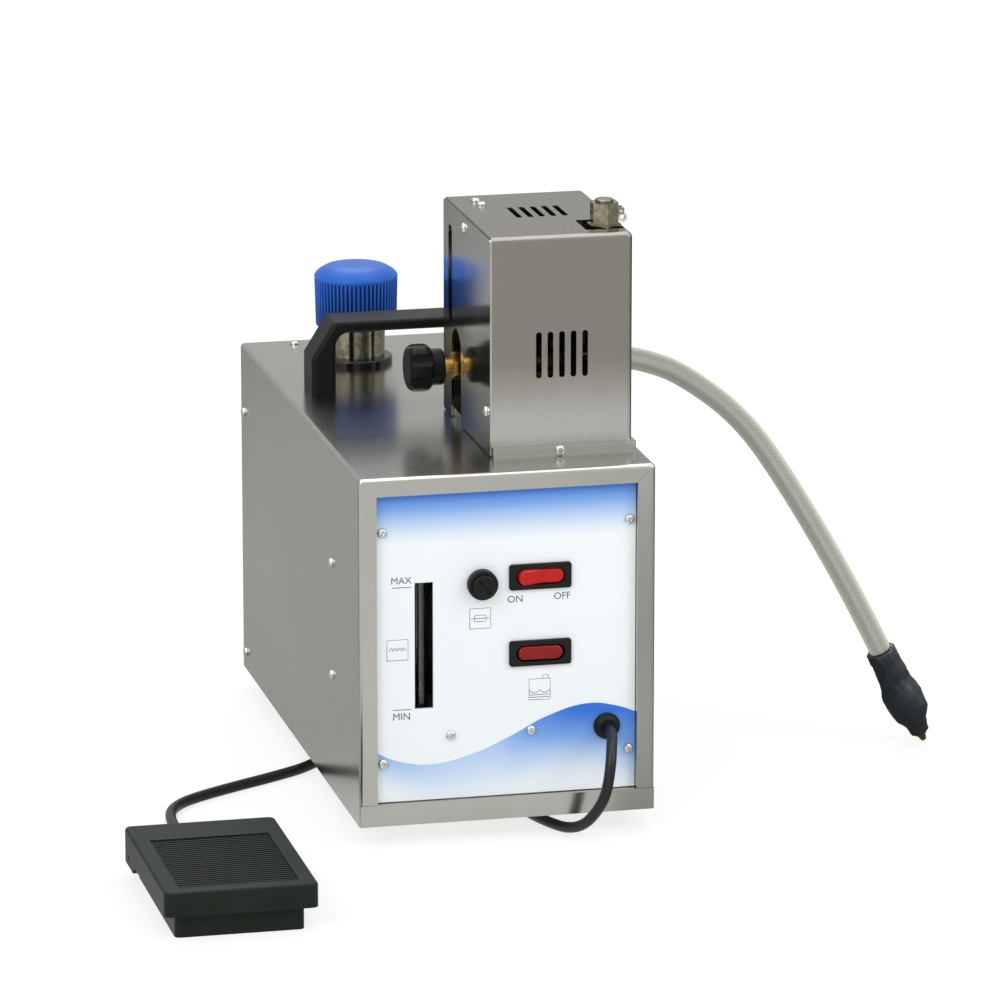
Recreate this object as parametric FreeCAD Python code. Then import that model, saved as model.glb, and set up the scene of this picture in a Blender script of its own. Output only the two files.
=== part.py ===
import FreeCAD, Part
import math
import os

# A bench steam cleaner for jewelry: a folded steel case with a front panel, a water tank
# with a screw cap, a small boiler, a vented tower over the steam valve, a steam hose with
# a nozzle, and a foot pedal on a cord.
#
# All sizes are in millimetres. While it is drawn, x = 0 is the middle of the case, y = 0 is
# its front and z = 0 its underside. The last step moves everything so that the origin is
# on the bench, under the middle of the machine and its pedal taken together.

V = FreeCAD.Vector

# Case
CASE_W = 165.0
CASE_D = 334.0
CASE_H = 195.0
SHEET = 1.2
BEND = 2.5
FRAME_W = 10.0
SEAM_W = 0.35
SEAM_DEEP = 0.35
RAIL_H = 12.0
SEAT_W = 8.5
FIT = 0.2
FOOT_H = 12.0
FOOT_R = 11.0
FOOT_STEM_R = 4.0
FOOT_IN_X = 20.5
FOOT_IN_Y = 60.0
FLANGE = 12.0

# Front panel and what it carries
PANEL_BACK = 4.0
PANEL_T = 1.5
PANEL_GAP = 0.3
SCREW_R = 1.5
SCREW_HEAD_R = 2.75
SCREW_HEAD_H = 1.8
SCREW_LEN = 7.0
HOLE_GAP = 0.1
PANEL_SCREW_X = 68.7
PANEL_SCREW_Z = (34.3, 164.0)
LUG_SCREW_X = (-31.0, 14.0)
LUG_SCREW_Z = 48.2

SWITCH_X = 18.8
SWITCH_Z = 135.1
LAMP_Z = 92.1
BEZEL_W = 34.6
BEZEL_H = 14.4
BEZEL_T = 2.0
BEZEL_BODY_W = 30.0
BEZEL_BODY_H = 11.0
BEZEL_BODY_D = 24.0
BEZEL_MOUTH_W = 27.2
BEZEL_MOUTH_H = 9.2
ROCKER_W = 24.8
ROCKER_H = 8.5
ROCKER_TILT = 8.0
ROCKER_MID = 4.2
ROCKER_END = 5.2
ROCKER_PIVOT_IN = 2.0
ROCKER_ROOT = 6.5

FUSE_X = -13.6
FUSE_Z = 132.5
FUSE_COLLAR_R = 8.35
FUSE_COLLAR_T = 5.0
FUSE_BARREL_R = 6.0
FUSE_BARREL_D = 34.0
FUSE_BORE_R = 4.4
FUSE_CAP_R = 6.2
FUSE_CAP_OUT = 8.0
FUSE_R = 2.6
FUSE_LEN = 20.0
FUSE_GRIP = 4.0

SLOT_X0 = -50.9
SLOT_X1 = -40.6
SLOT_Z0 = 64.2
SLOT_Z1 = 135.1
TUBE_R = 4.0
TUBE_WALL = 0.9
TUBE_Y = 13.0
TUBE_Z0 = 46.0
TUBE_Z1 = 153.0
FITTING_H = 14.0
FITTING_SEAT = 10.0

GROMMET_FROM_SIDE = 26.2
GROMMET_Z = 48.0
GROMMET_R = 7.35
GROMMET_NECK_R = 6.0
GROMMET_OUT = 4.0
GROMMET_IN = 9.0

# Carry handle
HANDLE_L = 135.2
HANDLE_Y0 = 197.0
HANDLE_DEPTH = 26.0
HANDLE_H = 41.5
HANDLE_BAR = 6.5
HANDLE_LEG = 14.0
HANDLE_CHAMFER_X = 13.0
HANDLE_CHAMFER_Z = 20.5
HANDLE_SOFT = 2.5
HANDLE_INNER_R = 8.0
HANDLE_BOLT_R = 2.5
HANDLE_BOLT_HEAD_R = 4.5
HANDLE_BOLT_HEAD_H = 3.5
HANDLE_BOLT_UP = 14.0

# Filler neck, cap and tank
FILL_X = -26.0
FILL_FROM_REAR = 57.8
NECK_R = 16.5
NECK_BORE_R = 14.0
NECK_TOP = 43.0
NECK_THREAD_R = 16.0
THREAD_RISE = 0.35
THREAD_PITCH = 4.0
THREAD_TURNS = 3
GASKET_R = 20.8
GASKET_H = 4.0
CAP_R = 24.0
CAP_R_LOW = 23.2
CAP_BOTTOM = 21.8
CAP_SKIRT_TOP = 51.4
CAP_TOP = 58.0
CAP_RIBS = 60
CAP_RIB = 0.6
CAP_BORE_R = 16.7
SEAL_T = 2.2
SEAL_GAP = 0.2
TANK_X0 = -78.0
TANK_X1 = 28.0
TANK_Y0 = 200.0
TANK_FROM_REAR = 14.8
TANK_TOP_GAP = 22.0
TANK_WALL = 2.5
TANK_CORNER = 8.0
TANK_LIFT = 5.0
TANK_RIB = 6.0
TANK_RIB_IN = 10.0

# Tower over the steam valve
TOWER_X0 = -2.1
TOWER_W = 79.7
TOWER_Y0 = 34.0
TOWER_D = 116.0
TOWER_H = 121.5
TOWER_SHEET = 1.0
TOWER_BEND = 3.0
TOWER_FLANGE = 11.0
RIM_H = 5.5
RIM_OUT_FRONT = 3.4
RIM_OUT = 1.5
RIM_WINDOW = 8.0
RIM_LINES = (1.5, 3.5)
RIM_LINE_H = 0.5
RIM_LINE_DEEP = 0.6
RIM_SCREW_Z = 3.0
VENT_W = 3.2
VENT_COUNT = 5
VENT_PITCH = 6.45
VENT_X = 38.0
VENT_Z0 = 42.8
VENT_Z1 = 68.5
TOP_VENT_X = 39.2
TOP_VENT_Y0 = 84.5
TOP_VENT_Y1 = 111.5
RELIEF_CUT = (54.0, 76.0, 45.2, 71.0)
SIDE_SLOT_Y = 132.8
SIDE_SLOT_W = 9.0
SIDE_SLOT_Z0 = 54.0
SIDE_SLOT_Z1 = 109.0
ARCH_R = 12.0
ARCH_TOP = 53.0
SIDE_LOW_SCREW = 24.0
SIDE_HIGH_SCREW_DOWN = 7.0
SIDE_HIGH_SCREW_AT = 0.5466

# Steam valve, solenoid and hose fitting
VALVE_Y = 118.0
VALVE_Z = 32.0
VALVE_X0 = 5.0
VALVE_X1 = 60.0
VALVE_R = 10.0
SPINDLE_R = 3.0
SPINDLE_RUN = 0.05
NUT_X0 = -5.0
NUT_FLATS = 14.0
COLLAR_X0 = -9.5
COLLAR_R = 4.5
KNOB_GAP = 0.4
KNOB_HUB_X0 = -16.5
KNOB_HUB_R = 10.2
KNOB_X0 = -30.5
KNOB_R = 13.3
KNOB_LOBES = 6
KNOB_SCALLOP_R = 5.5
KNOB_SCALLOP_AT = 16.6
KNOB_SOFT = 4.5
KNOB_BORE_DEEP = 14.0
SPINDLE_TIP = 20.0
SPINDLE_TRAVEL = 3.0
COIL_X = 46.0
COIL_W = 30.0
COIL_H = 34.0
COIL_UP = 14.0
CORE_R = 6.0
CORE_BORE_R = 4.5
PLUNGER_R = 4.4
PLUNGER_L = 24.0
PLUNGER_TRAVEL = 3.0
HEX_FLATS = 17.0
HEX_T = 8.0
FERRULE_R = 8.0
FERRULE_END = 80.0
WALL_HOLE_R = 9.5

# Relief valve
RELIEF_X = 66.5
RELIEF_Y = 55.0
RELIEF_LOW_FLATS = 17.0
RELIEF_LOW_TOP = 122.6
RELIEF_FLATS = 14.0
RELIEF_TOP = 134.7
RELIEF_PIPE_R = 4.0
STEM_R = 2.0
STEM_BORE_R = 2.1
STEM_CAP_R = 5.0
STEM_CAP_T = 1.6
STEM_LIFT = 1.5
LEVER_X = 75.2
LEVER_Z = 129.6
LEVER_PIN_R = 0.85
LEVER_T = 3.4
EAR_T = 1.5
LOOP_DX = 1.4
LOOP_DZ = 4.0
LOOP_R = 2.6
LOOP_HOLE_R = 1.3

# Boiler
BOILER_X = 38.0
BOILER_Y = 96.0
BOILER_R = 38.0
BOILER_Z0 = 14.0
BOILER_Z1 = 180.0
BOILER_WALL = 2.0
BOILER_SOFT = 10.0
SKIRT_R = 32.0
SKIRT_T = 2.0
PORT_R = 3.0
PIPE_R = 4.0
PIPE_BEND = 6.0
ELEMENT_R = 4.0
ELEMENT_SPREAD = 12.0
ELEMENT_TOP = 120.0
ELEMENT_FLANGE_R = 24.0
ELEMENT_FLANGE_T = 5.0
GAUGE_X = 20.0
GAUGE_Y = 74.0
GAUGE_R = 13.0
GAUGE_T = 18.0
GAUGE_UP = 42.0

# Pump, mains inlet and terminal block
PUMP_X = 55.0
PUMP_L = 70.0
PUMP_FROM_REAR = 52.8
PUMP_Z = 35.0
PUMP_R = 16.0
NOZZLE_L = 12.0
FEED_R = 3.5
LOW_Z = 20.0
OUTLET_FROM_REAR = 27.8
FEED_TURN = 0.435
INLET_X = 55.0
INLET_Z = 40.0
INLET_W = 27.4
INLET_H = 20.0
INLET_FLANGE_W = 31.0
INLET_FLANGE_H = 24.0
INLET_OUT = 2.5
INLET_IN = 17.0
SOCKET_W = 24.0
SOCKET_H = 16.0
SOCKET_D = 16.0
PIN_W = 4.0
PIN_T = 2.0
PIN_STEP = 7.0
BRACKET_Y = 62.0
BRACKET_D = 22.0
BRACKET_Z0 = 55.0
BRACKET_Z1 = 142.0
BRACKET_SHELF = 55.0
BLOCK_L = 40.0
BLOCK_D = 16.0
BLOCK_H = 22.0
BLOCK_WAYS = 5

# Case screws, given from the front and the underside
SIDE_SCREW_Y = 73.0
SIDE_SCREW_Z = (66.7, 130.6)
REAR_SCREW_BACK = 8.0
REAR_SCREW_Z = (10.6, 155.8)
TOP_SCREW_X = 52.3

# Foot pedal
PEDAL_X0 = -215.0
PEDAL_W = 82.2
PEDAL_Y0 = -137.0
PEDAL_L = 123.0
PEDAL_H = 26.7
PLATE_T = 3.0
PLATE_WALL = 2.5
SKIRT_FRONT = 13.3
SKIRT_REAR = 18.5
EAR_L = 31.0
EAR_RISE = 4.0
EAR_STEP = 0.8
BASE_INSET = 6.5
BASE_H = 15.5
BASE_WALL = 2.5
BASE_FLOOR = 3.0
PIN_FROM_REAR = 13.6
PIN_UP = 12.8
PEDAL_PIN_R = 1.5
PIN_RUN = 0.05
RIDGE_MARGIN = 9.0
RIDGE_FROM_REAR = 29.0
RIDGE_COUNT = 25
RIDGE_DEEP = 0.7
TREAD_DEEP = 0.5
BUTTON_AT = 30.0
BUTTON_R = 1.6
BUTTON_UP = 3.2
BUTTON_GAP = 0.2
MICRO_L = 28.0
MICRO_W = 10.0
MICRO_H = 11.0
SPRING_AT = 75.0
SPRING_R = 6.0
WIRE_R = 0.6
SPRING_TURNS = 5
SPRING_GAP = 0.1
GLAND_R = 5.2
GLAND_TIP_R = 3.7
GLAND_L = 20.0
GLAND_UP = 8.0

# Steam hose, its grip and the pedal cord
HOSE_R = 6.25
GRIP_R = 7.5
GRIP_L = 28.0
BULB_R = 10.0
BULB_AT = 41.0
BULB_END = 57.0
NOZZLE_R = 5.4
TIP_R = 1.5
TIP_BORE_R = 0.8
TIP_GAP = 0.1
CORD_R = 3.0
COIL_TURN_R = 33.0
COIL_Y = 394.0
COIL_ROWS = 3
COIL_LAYERS = 2

HALF_W = CASE_W / 2
WIN_X = HALF_W - FRAME_W
WIN_TOP = CASE_H - FRAME_W
SEAT_Y = PANEL_BACK + PANEL_T
FLOOR = -FOOT_H
TOWER_X1 = TOWER_X0 + TOWER_W
TOWER_Y1 = TOWER_Y0 + TOWER_D
TOWER_TOP = CASE_H + TOWER_H
VALVE_UP = CASE_H + VALVE_Z
INNER_X = HALF_W - SHEET - FIT
REAR_Y = CASE_D - SHEET
PEDAL_X1 = PEDAL_X0 + PEDAL_W
PEDAL_Y1 = PEDAL_Y0 + PEDAL_L
PEDAL_MID = PEDAL_X0 + PEDAL_W / 2
PIN_Y = PEDAL_Y1 - PIN_FROM_REAR
PIN_Z = FLOOR + PIN_UP
TANK_TOP = CASE_H - TANK_TOP_GAP
GROMMET_X = HALF_W - GROMMET_FROM_SIDE
FILL_Y = REAR_Y - FILL_FROM_REAR
TANK_Y1 = REAR_Y - TANK_FROM_REAR
PUMP_Y1 = REAR_Y - PUMP_FROM_REAR
PUMP_Y0 = PUMP_Y1 - PUMP_L
OUTLET_Y = REAR_Y - OUTLET_FROM_REAR

# The origin: under the middle of everything but the free cords
ORIGIN_X = (PEDAL_X0 + HALF_W + SCREW_HEAD_H) / 2
ORIGIN_Y = (PEDAL_Y0 + REAR_Y + INLET_OUT) / 2
SHIFT = V(-ORIGIN_X, -ORIGIN_Y, -FLOOR)

X_AXIS = V(1, 0, 0)
Y_AXIS = V(0, 1, 0)
Z_AXIS = V(0, 0, 1)


def box(x0, x1, y0, y1, z0, z1):
    return Part.makeBox(x1 - x0, y1 - y0, z1 - z0, V(x0, y0, z0))


def rod(start, end, radius):
    way = V(*end) - V(*start)
    return Part.makeCylinder(radius, way.Length, V(*start), way)


def ring(start, end, outer, inner):
    way = V(*end) - V(*start)
    margin = V(*end) - V(*start)
    margin.normalize()
    hole = Part.makeCylinder(inner, way.Length + 2, V(*start) - margin, way)
    return rod(start, end, outer).cut(hole)


def joined(shapes):
    whole = shapes[0]
    for other in shapes[1:]:
        whole = whole.fuse(other)
    return whole.removeSplitter()


def without(shape, cutters):
    for cutter in cutters:
        shape = shape.cut(cutter)
    return shape


def along(edge, axis):
    """True for a straight edge that runs along the axis."""
    first, last = edge.Vertexes[0].Point, edge.Vertexes[-1].Point
    way = last - first
    straight = isinstance(edge.Curve, (Part.Line, Part.LineSegment))
    return straight and abs(abs(way.dot(axis)) - way.Length) < 1e-6 and way.Length > 1e-6


def rounded(shape, radius, axis, keep=lambda middle: True):
    """Round the straight edges along an axis whose middle point passes the test."""
    edges = [e for e in shape.Edges if along(e, axis) and keep(e.CenterOfMass)]
    return shape.makeFillet(radius, edges)


def slot(middle, long_axis, length, width, through, depth):
    """A cutter with round ends, as long and wide as given, centred on its middle."""
    middle = V(*middle)
    reach = (length - width) / 2
    start = middle - through * (depth / 2)
    ends = [Part.makeCylinder(width / 2, depth, start + long_axis * (s * reach), through)
            for s in (-1, 1)]
    across = long_axis.cross(through)
    corner = start - long_axis * reach - across * (width / 2)
    sides = [corner, corner + long_axis * (2 * reach)]
    sides += [sides[1] + across * width, corner + across * width, corner]
    flat = Part.Face(Part.makePolygon(sides))
    return joined([flat.extrude(through * depth)] + ends)


def prism(points, way):
    """A closed outline of points, pushed along a vector."""
    corners = [V(*p) for p in points]
    return Part.Face(Part.makePolygon(corners + corners[:1])).extrude(way)


def hexagon(start, end, flats):
    """A hexagonal bar; two of its flats face along X, or along Y on a bar that runs along X."""
    start, end = V(*start), V(*end)
    way = end - start
    first = Y_AXIS if abs(way.x) > 1e-6 else X_AXIS
    other = way.cross(first)
    other.normalize()
    radius = flats / math.sqrt(3)
    corners = []
    for i in range(6):
        turn = math.radians(60 * i + 30)
        corners.append(start + first * (radius * math.cos(turn)) + other * (radius * math.sin(turn)))
    return Part.Face(Part.makePolygon(corners + corners[:1])).extrude(way)


def turned(profile, start, axis):
    """A profile of (distance along the axis, radius) points, turned round the axis."""
    axis = V(*axis)
    axis.normalize()
    side = axis.cross(Y_AXIS)
    if side.Length < 1e-6:
        side = axis.cross(X_AXIS)
    side.normalize()
    points = [V(*start) + axis * s + side * r for s, r in profile]
    face = Part.Face(Part.makePolygon(points + points[:1]))
    return face.revolve(V(*start), axis, 360)


def screw(head, inward, length=SCREW_LEN):
    """A pan-head machine screw: its head's underside lies at the given point."""
    head = V(*head)
    inward = V(*inward)
    top = Part.makeCylinder(SCREW_HEAD_R, SCREW_HEAD_H, head, -inward)
    rim = [e for e in top.Edges if isinstance(e.Curve, Part.Circle)
           and (e.CenterOfMass - head).Length > SCREW_HEAD_H / 2]
    top = top.makeFillet(SCREW_HEAD_H * 0.6, rim)
    return top.fuse(Part.makeCylinder(SCREW_R, length, head, inward)).removeSplitter()


def screw_hole(middle, axis):
    middle, axis = V(*middle), V(*axis)
    return Part.makeCylinder(SCREW_R + HOLE_GAP, 12, middle - axis * 6, axis)


def route_path(points, bend=None):
    """Straight runs joined by arcs of one bend radius, or else as large as the runs allow."""
    points = [V(*p) for p in points]
    edges, radii = [], []
    last = points[0]
    for i in range(1, len(points) - 1):
        before = points[i] - points[i - 1]
        after = points[i + 1] - points[i]
        half_turn = before.getAngle(after) / 2
        reach = 0.45 * min(before.Length, after.Length)
        if bend:
            reach = bend * math.tan(half_turn)
        radii.append(reach / math.tan(half_turn))
        before.normalize()
        after.normalize()
        start = points[i] - before * reach
        end = points[i] + after * reach
        inward = after - before
        inward.normalize()
        middle = points[i] + inward * (radii[-1] / math.cos(half_turn) - radii[-1])
        edges.append(Part.LineSegment(last, start).toShape())
        edges.append(Part.Arc(start, middle, end).toShape())
        last = end
    edges.append(Part.LineSegment(last, points[-1]).toShape())
    return Part.Wire(edges), radii


def swept(path, points, radius):
    first = V(*points[1]) - V(*points[0])
    section = Part.Wire(Part.makeCircle(radius, V(*points[0]), first))
    return path.makePipeShell([section], True, True)


def pipe(points, radius, bore=0.0):
    """A bent pipe, hollow right through if it has a bore."""
    path, radii = route_path(points, PIPE_BEND)
    outside = swept(path, points, radius)
    return outside.cut(swept(path, points, bore)) if bore else outside


def cord_tube(name, points, radius):
    path, radii = route_path(points)
    tube = swept(path, points, radius)
    expected = math.pi * radius ** 2 * path.Length
    print(name, "length", round(path.Length, 1), "least radius", round(min(radii), 1),
          "volume ratio", round(tube.Volume / expected, 4))
    return tube


# Case

def case_shell():
    """Left side, top and right side in one folded sheet, with a stepped frame in front."""
    def bent(shape, radius):
        top = max(v.Z for v in shape.Vertexes)
        front = min(v.Y for v in shape.Vertexes)
        shape = rounded(shape, radius, Z_AXIS, lambda m: m.y < front + 1)
        picked = []
        for e in shape.Edges:
            m = e.CenterOfMass
            if abs(m.z - top) > 1.5 * radius or m.y > CASE_D:
                continue
            at_top = all(abs(v.Z - top) < 1e-6 for v in e.Vertexes)
            if at_top and m.y < CASE_D - 1:
                picked.append(e)
        return shape.makeFillet(radius * 0.98, picked)

    outside = bent(box(-HALF_W, HALF_W, 0, CASE_D, 0, CASE_H), BEND)
    inside = bent(box(-HALF_W + SHEET, HALF_W - SHEET, SHEET, CASE_D + 5, -5, CASE_H - SHEET),
                  BEND - SHEET)
    shell = outside.cut(inside)
    low = RAIL_H + FIT
    window = box(-WIN_X, WIN_X, -1, SHEET + 1, -1, WIN_TOP)
    rail_room = box(-HALF_W - 1, HALF_W + 1, -1, SHEET + FIT, -1, low)
    shell = without(shell, [window, rail_room])
    lip = box(-WIN_X - SHEET, WIN_X + SHEET, SHEET / 2, SEAT_Y + SHEET, low, WIN_TOP + SHEET)
    lip = lip.cut(box(-WIN_X, WIN_X, 0, SEAT_Y + 2 * SHEET, low - 1, WIN_TOP))
    seat = box(-WIN_X, WIN_X, SEAT_Y, SEAT_Y + SHEET, low, WIN_TOP)
    seat = seat.cut(box(-WIN_X + SEAT_W, WIN_X - SEAT_W, 0, SEAT_Y + 2 * SHEET,
                        low - 1, WIN_TOP - SEAT_W))
    shell = joined([shell, lip, seat])
    cuts = [box(TOWER_X0 + RIM_WINDOW + 3, TOWER_X1 - RIM_WINDOW - 3, TOWER_Y0 + RIM_WINDOW + 3,
                TOWER_Y1 - RIM_WINDOW - 3, CASE_H - 5, CASE_H + 5)]
    cuts.append(rod((FILL_X, FILL_Y, CASE_H - 5), (FILL_X, FILL_Y, CASE_H + 5), NECK_R + FIT))
    for x, y in handle_feet():
        cuts.append(rod((x, y, CASE_H - 5), (x, y, CASE_H + 5), HANDLE_BOLT_R + HOLE_GAP))
    for side in (-1, 1):
        for z in PANEL_SCREW_Z:
            cuts.append(screw_hole((side * PANEL_SCREW_X, SEAT_Y, z), (0, 1, 0)))
        for y, z in side_screw_places():
            cuts.append(screw_hole((side * HALF_W, y, z), (1, 0, 0)))
        cuts.append(screw_hole((side * TOP_SCREW_X, REAR_Y - REAR_SCREW_BACK, CASE_H), (0, 0, 1)))
        cuts.append(mitre_seam(side))
    return without(shell, cuts)


def mitre_seam(side):
    """The fine line where the frame's upright and its top strip meet at 45 degrees."""
    half = SEAM_W / math.sqrt(8)
    near = V(side * (WIN_X + SEAM_DEEP), 0, WIN_TOP + SEAM_DEEP)
    far = V(side * (HALF_W - BEND), 0, CASE_H - BEND)
    off = V(side * half, 0, -half)
    corners = [near - off, near + off, far + off, far - off]
    return prism([(p.x, -1, p.z) for p in corners], V(0, 1 + SEAM_DEEP, 0))


def handle_feet():
    x = HANDLE_L / 2 - HANDLE_LEG / 2
    y = HANDLE_Y0 + HANDLE_DEPTH / 2
    return [(-x, y), (x, y)]


def side_screw_places():
    places = [(SIDE_SCREW_Y, z) for z in SIDE_SCREW_Z]
    places += [(REAR_Y - REAR_SCREW_BACK, z) for z in REAR_SCREW_Z]
    return places


def foot_places():
    xs = (-HALF_W + FOOT_IN_X, HALF_W - FOOT_IN_X)
    return [(x, y) for x in xs for y in (FOOT_IN_Y, CASE_D - FOOT_IN_Y)]


def base_tray():
    """The bottom sheet, with the front rail, the panel's lower seat and side flanges."""
    floor = box(-INNER_X, INNER_X, SHEET / 2, REAR_Y - SHEET - FIT, 0, SHEET)
    rail = box(-HALF_W, HALF_W, 0, SHEET, 0, RAIL_H)
    rail = rounded(rail, SHEET * 0.9, Z_AXIS, lambda m: m.y < SHEET / 2)
    step = box(-WIN_X + FIT, WIN_X - FIT, SHEET / 2, SEAT_Y + SHEET, RAIL_H - SHEET, RAIL_H)
    seat = box(-WIN_X + SEAT_W + FIT, WIN_X - SEAT_W - FIT, SEAT_Y, SEAT_Y + SHEET,
               RAIL_H - SHEET, RAIL_H + FLANGE)
    flanges = [box(s * INNER_X - (SHEET if s > 0 else 0), s * INNER_X + (0 if s > 0 else SHEET),
                   SHEET, REAR_Y - FLANGE - 2, 0, FLANGE) for s in (-1, 1)]
    tray = joined([floor, rail, step, seat] + flanges)
    cuts = [rod((x, y, -1), (x, y, SHEET + 1), FOOT_STEM_R) for x, y in foot_places()]
    for row in range(2):
        for i in range(7):
            x = -36 + 12 * i
            cuts.append(slot((x, 165 + 40 * row, 0), Y_AXIS, 28, 4, Z_AXIS, 6))
    return without(tray, cuts)


def rubber_feet():
    feet = []
    for x, y in foot_places():
        foot = Part.makeCone(FOOT_R - 1, FOOT_R, FOOT_H, V(x, y, FLOOR))
        rim = [e for e in foot.Edges if isinstance(e.Curve, Part.Circle)
               and e.CenterOfMass.z < FLOOR + 1]
        foot = foot.makeFillet(1.5, rim)
        stem = rod((x, y, -1), (x, y, SHEET), FOOT_STEM_R)
        barb = Part.makeCone(FOOT_STEM_R + 1, FOOT_STEM_R - 1, 4, V(x, y, SHEET))
        feet.append(joined([foot, stem, barb]))
    return feet


def rear_panel():
    plate = box(-INNER_X, INNER_X, REAR_Y - SHEET, REAR_Y, SHEET, CASE_H - SHEET - FIT)
    top = CASE_H - SHEET - FIT
    flanges = [box(s * INNER_X - (SHEET if s > 0 else 0), s * INNER_X + (0 if s > 0 else SHEET),
                   REAR_Y - FLANGE, REAR_Y, SHEET + FIT, top - BEND) for s in (-1, 1)]
    flanges.append(box(-INNER_X + BEND, INNER_X - BEND, REAR_Y - FLANGE, REAR_Y, top - SHEET, top))
    panel = joined([plate] + flanges)
    cuts = [box(INLET_X - INLET_W / 2, INLET_X + INLET_W / 2, REAR_Y - 5, REAR_Y + 5,
                INLET_Z - INLET_H / 2, INLET_Z + INLET_H / 2)]
    for i in range(9):
        cuts.append(slot((-48 + 12 * i, REAR_Y, 150), Z_AXIS, 30, 4, Y_AXIS, 8))
    for side in (-1, 1):
        for z in REAR_SCREW_Z:
            cuts.append(screw_hole((side * INNER_X, REAR_Y - REAR_SCREW_BACK, z), (1, 0, 0)))
        cuts.append(screw_hole((side * TOP_SCREW_X, REAR_Y - REAR_SCREW_BACK, top), (0, 0, 1)))
    return without(panel, cuts)


def case_screws():
    screws = []
    for side in (-1, 1):
        for y, z in side_screw_places():
            screws.append(screw((side * HALF_W, y, z), (-side, 0, 0)))
        y = REAR_Y - REAR_SCREW_BACK
        screws.append(screw((side * TOP_SCREW_X, y, CASE_H), (0, 0, -1)))
    return screws


def side_bracket():
    """An angle on the left wall whose shelf plate carries the terminal block."""
    wall = box(-INNER_X, -INNER_X + SHEET, BRACKET_Y, BRACKET_Y + BRACKET_D, BRACKET_Z0, BRACKET_Z1)
    shelf = box(-INNER_X, -INNER_X + BRACKET_SHELF, BRACKET_Y, BRACKET_Y + SHEET,
                BRACKET_Z0, BRACKET_Z1)
    angle = joined([wall, shelf])
    return without(angle, [screw_hole((-INNER_X, SIDE_SCREW_Y, z), (1, 0, 0)) for z in SIDE_SCREW_Z])


def terminal_block():
    x0 = -INNER_X + SHEET + 6
    y0 = BRACKET_Y + SHEET
    z0 = (BRACKET_Z0 + BRACKET_Z1) / 2 - BLOCK_H / 2
    block = box(x0, x0 + BLOCK_L, y0, y0 + BLOCK_D, z0, z0 + BLOCK_H)
    block = rounded(block, 1.5, X_AXIS, lambda m: m.y > y0 + 1)
    step = BLOCK_L / BLOCK_WAYS
    cuts = []
    for i in range(BLOCK_WAYS):
        x = x0 + step * (i + 0.5)
        for z in (z0 + 5, z0 + BLOCK_H - 5):
            cuts.append(rod((x, y0 + BLOCK_D - 4, z), (x, y0 + BLOCK_D + 1, z), 2.2))
    return without(block, cuts)


# Front panel

def front_panel():
    panel = box(-WIN_X + PANEL_GAP, WIN_X - PANEL_GAP, PANEL_BACK, SEAT_Y,
                RAIL_H + FIT + PANEL_GAP, WIN_TOP - PANEL_GAP)
    cuts = []
    for z in (SWITCH_Z, LAMP_Z):
        cuts.append(box(SWITCH_X - BEZEL_BODY_W / 2 - FIT, SWITCH_X + BEZEL_BODY_W / 2 + FIT, 0, 10,
                        z - BEZEL_BODY_H / 2 - FIT, z + BEZEL_BODY_H / 2 + FIT))
    cuts.append(rod((FUSE_X, 0, FUSE_Z), (FUSE_X, 10, FUSE_Z), FUSE_BARREL_R + HOLE_GAP))
    cuts.append(rod((GROMMET_X, 0, GROMMET_Z), (GROMMET_X, 10, GROMMET_Z), GROMMET_NECK_R))
    cuts.append(slot(((SLOT_X0 + SLOT_X1) / 2, SEAT_Y, (SLOT_Z0 + SLOT_Z1) / 2), Z_AXIS,
                     SLOT_Z1 - SLOT_Z0 + 0.01, 2.0, Y_AXIS, 8))
    cuts.append(box(SLOT_X0, SLOT_X1, 0, 10, SLOT_Z0, SLOT_Z1))
    cuts += [screw_hole((x, SEAT_Y, z), (0, 1, 0)) for x, z in panel_screw_places()]
    return without(panel, cuts)


def panel_screw_places():
    places = [(s * PANEL_SCREW_X, z) for s in (-1, 1) for z in PANEL_SCREW_Z]
    return places + [(x, LUG_SCREW_Z) for x in LUG_SCREW_X]


def panel_screws():
    return [screw((x, PANEL_BACK, z), (0, 1, 0)) for x, z in panel_screw_places()]


def bezel(z):
    """The black frame and body shared by the mains switch and the water lamp."""
    front = PANEL_BACK - BEZEL_T
    frame = box(SWITCH_X - BEZEL_W / 2, SWITCH_X + BEZEL_W / 2, front, PANEL_BACK,
                z - BEZEL_H / 2, z + BEZEL_H / 2)
    frame = rounded(frame, 1.6, Y_AXIS)
    lip = [e for e in frame.Edges if abs(e.CenterOfMass.y - front) < 1e-6]
    frame = frame.makeFillet(0.6, lip)
    body = box(SWITCH_X - BEZEL_BODY_W / 2, SWITCH_X + BEZEL_BODY_W / 2, PANEL_BACK - 0.5,
               PANEL_BACK + BEZEL_BODY_D, z - BEZEL_BODY_H / 2, z + BEZEL_BODY_H / 2)
    tabs = [box(SWITCH_X + x - 3.2, SWITCH_X + x + 3.2, PANEL_BACK + BEZEL_BODY_D - 1,
                PANEL_BACK + BEZEL_BODY_D + 8, z - 0.4, z + 0.4) for x in (-9, 0, 9)]
    whole = joined([frame, body] + tabs)
    depth = BEZEL_BODY_D + BEZEL_T - 8
    mouth = slot((SWITCH_X, front + depth / 2 - 0.5, z), X_AXIS, BEZEL_MOUTH_W, BEZEL_MOUTH_H,
                 Y_AXIS, depth + 1)
    return whole.cut(mouth)


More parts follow.
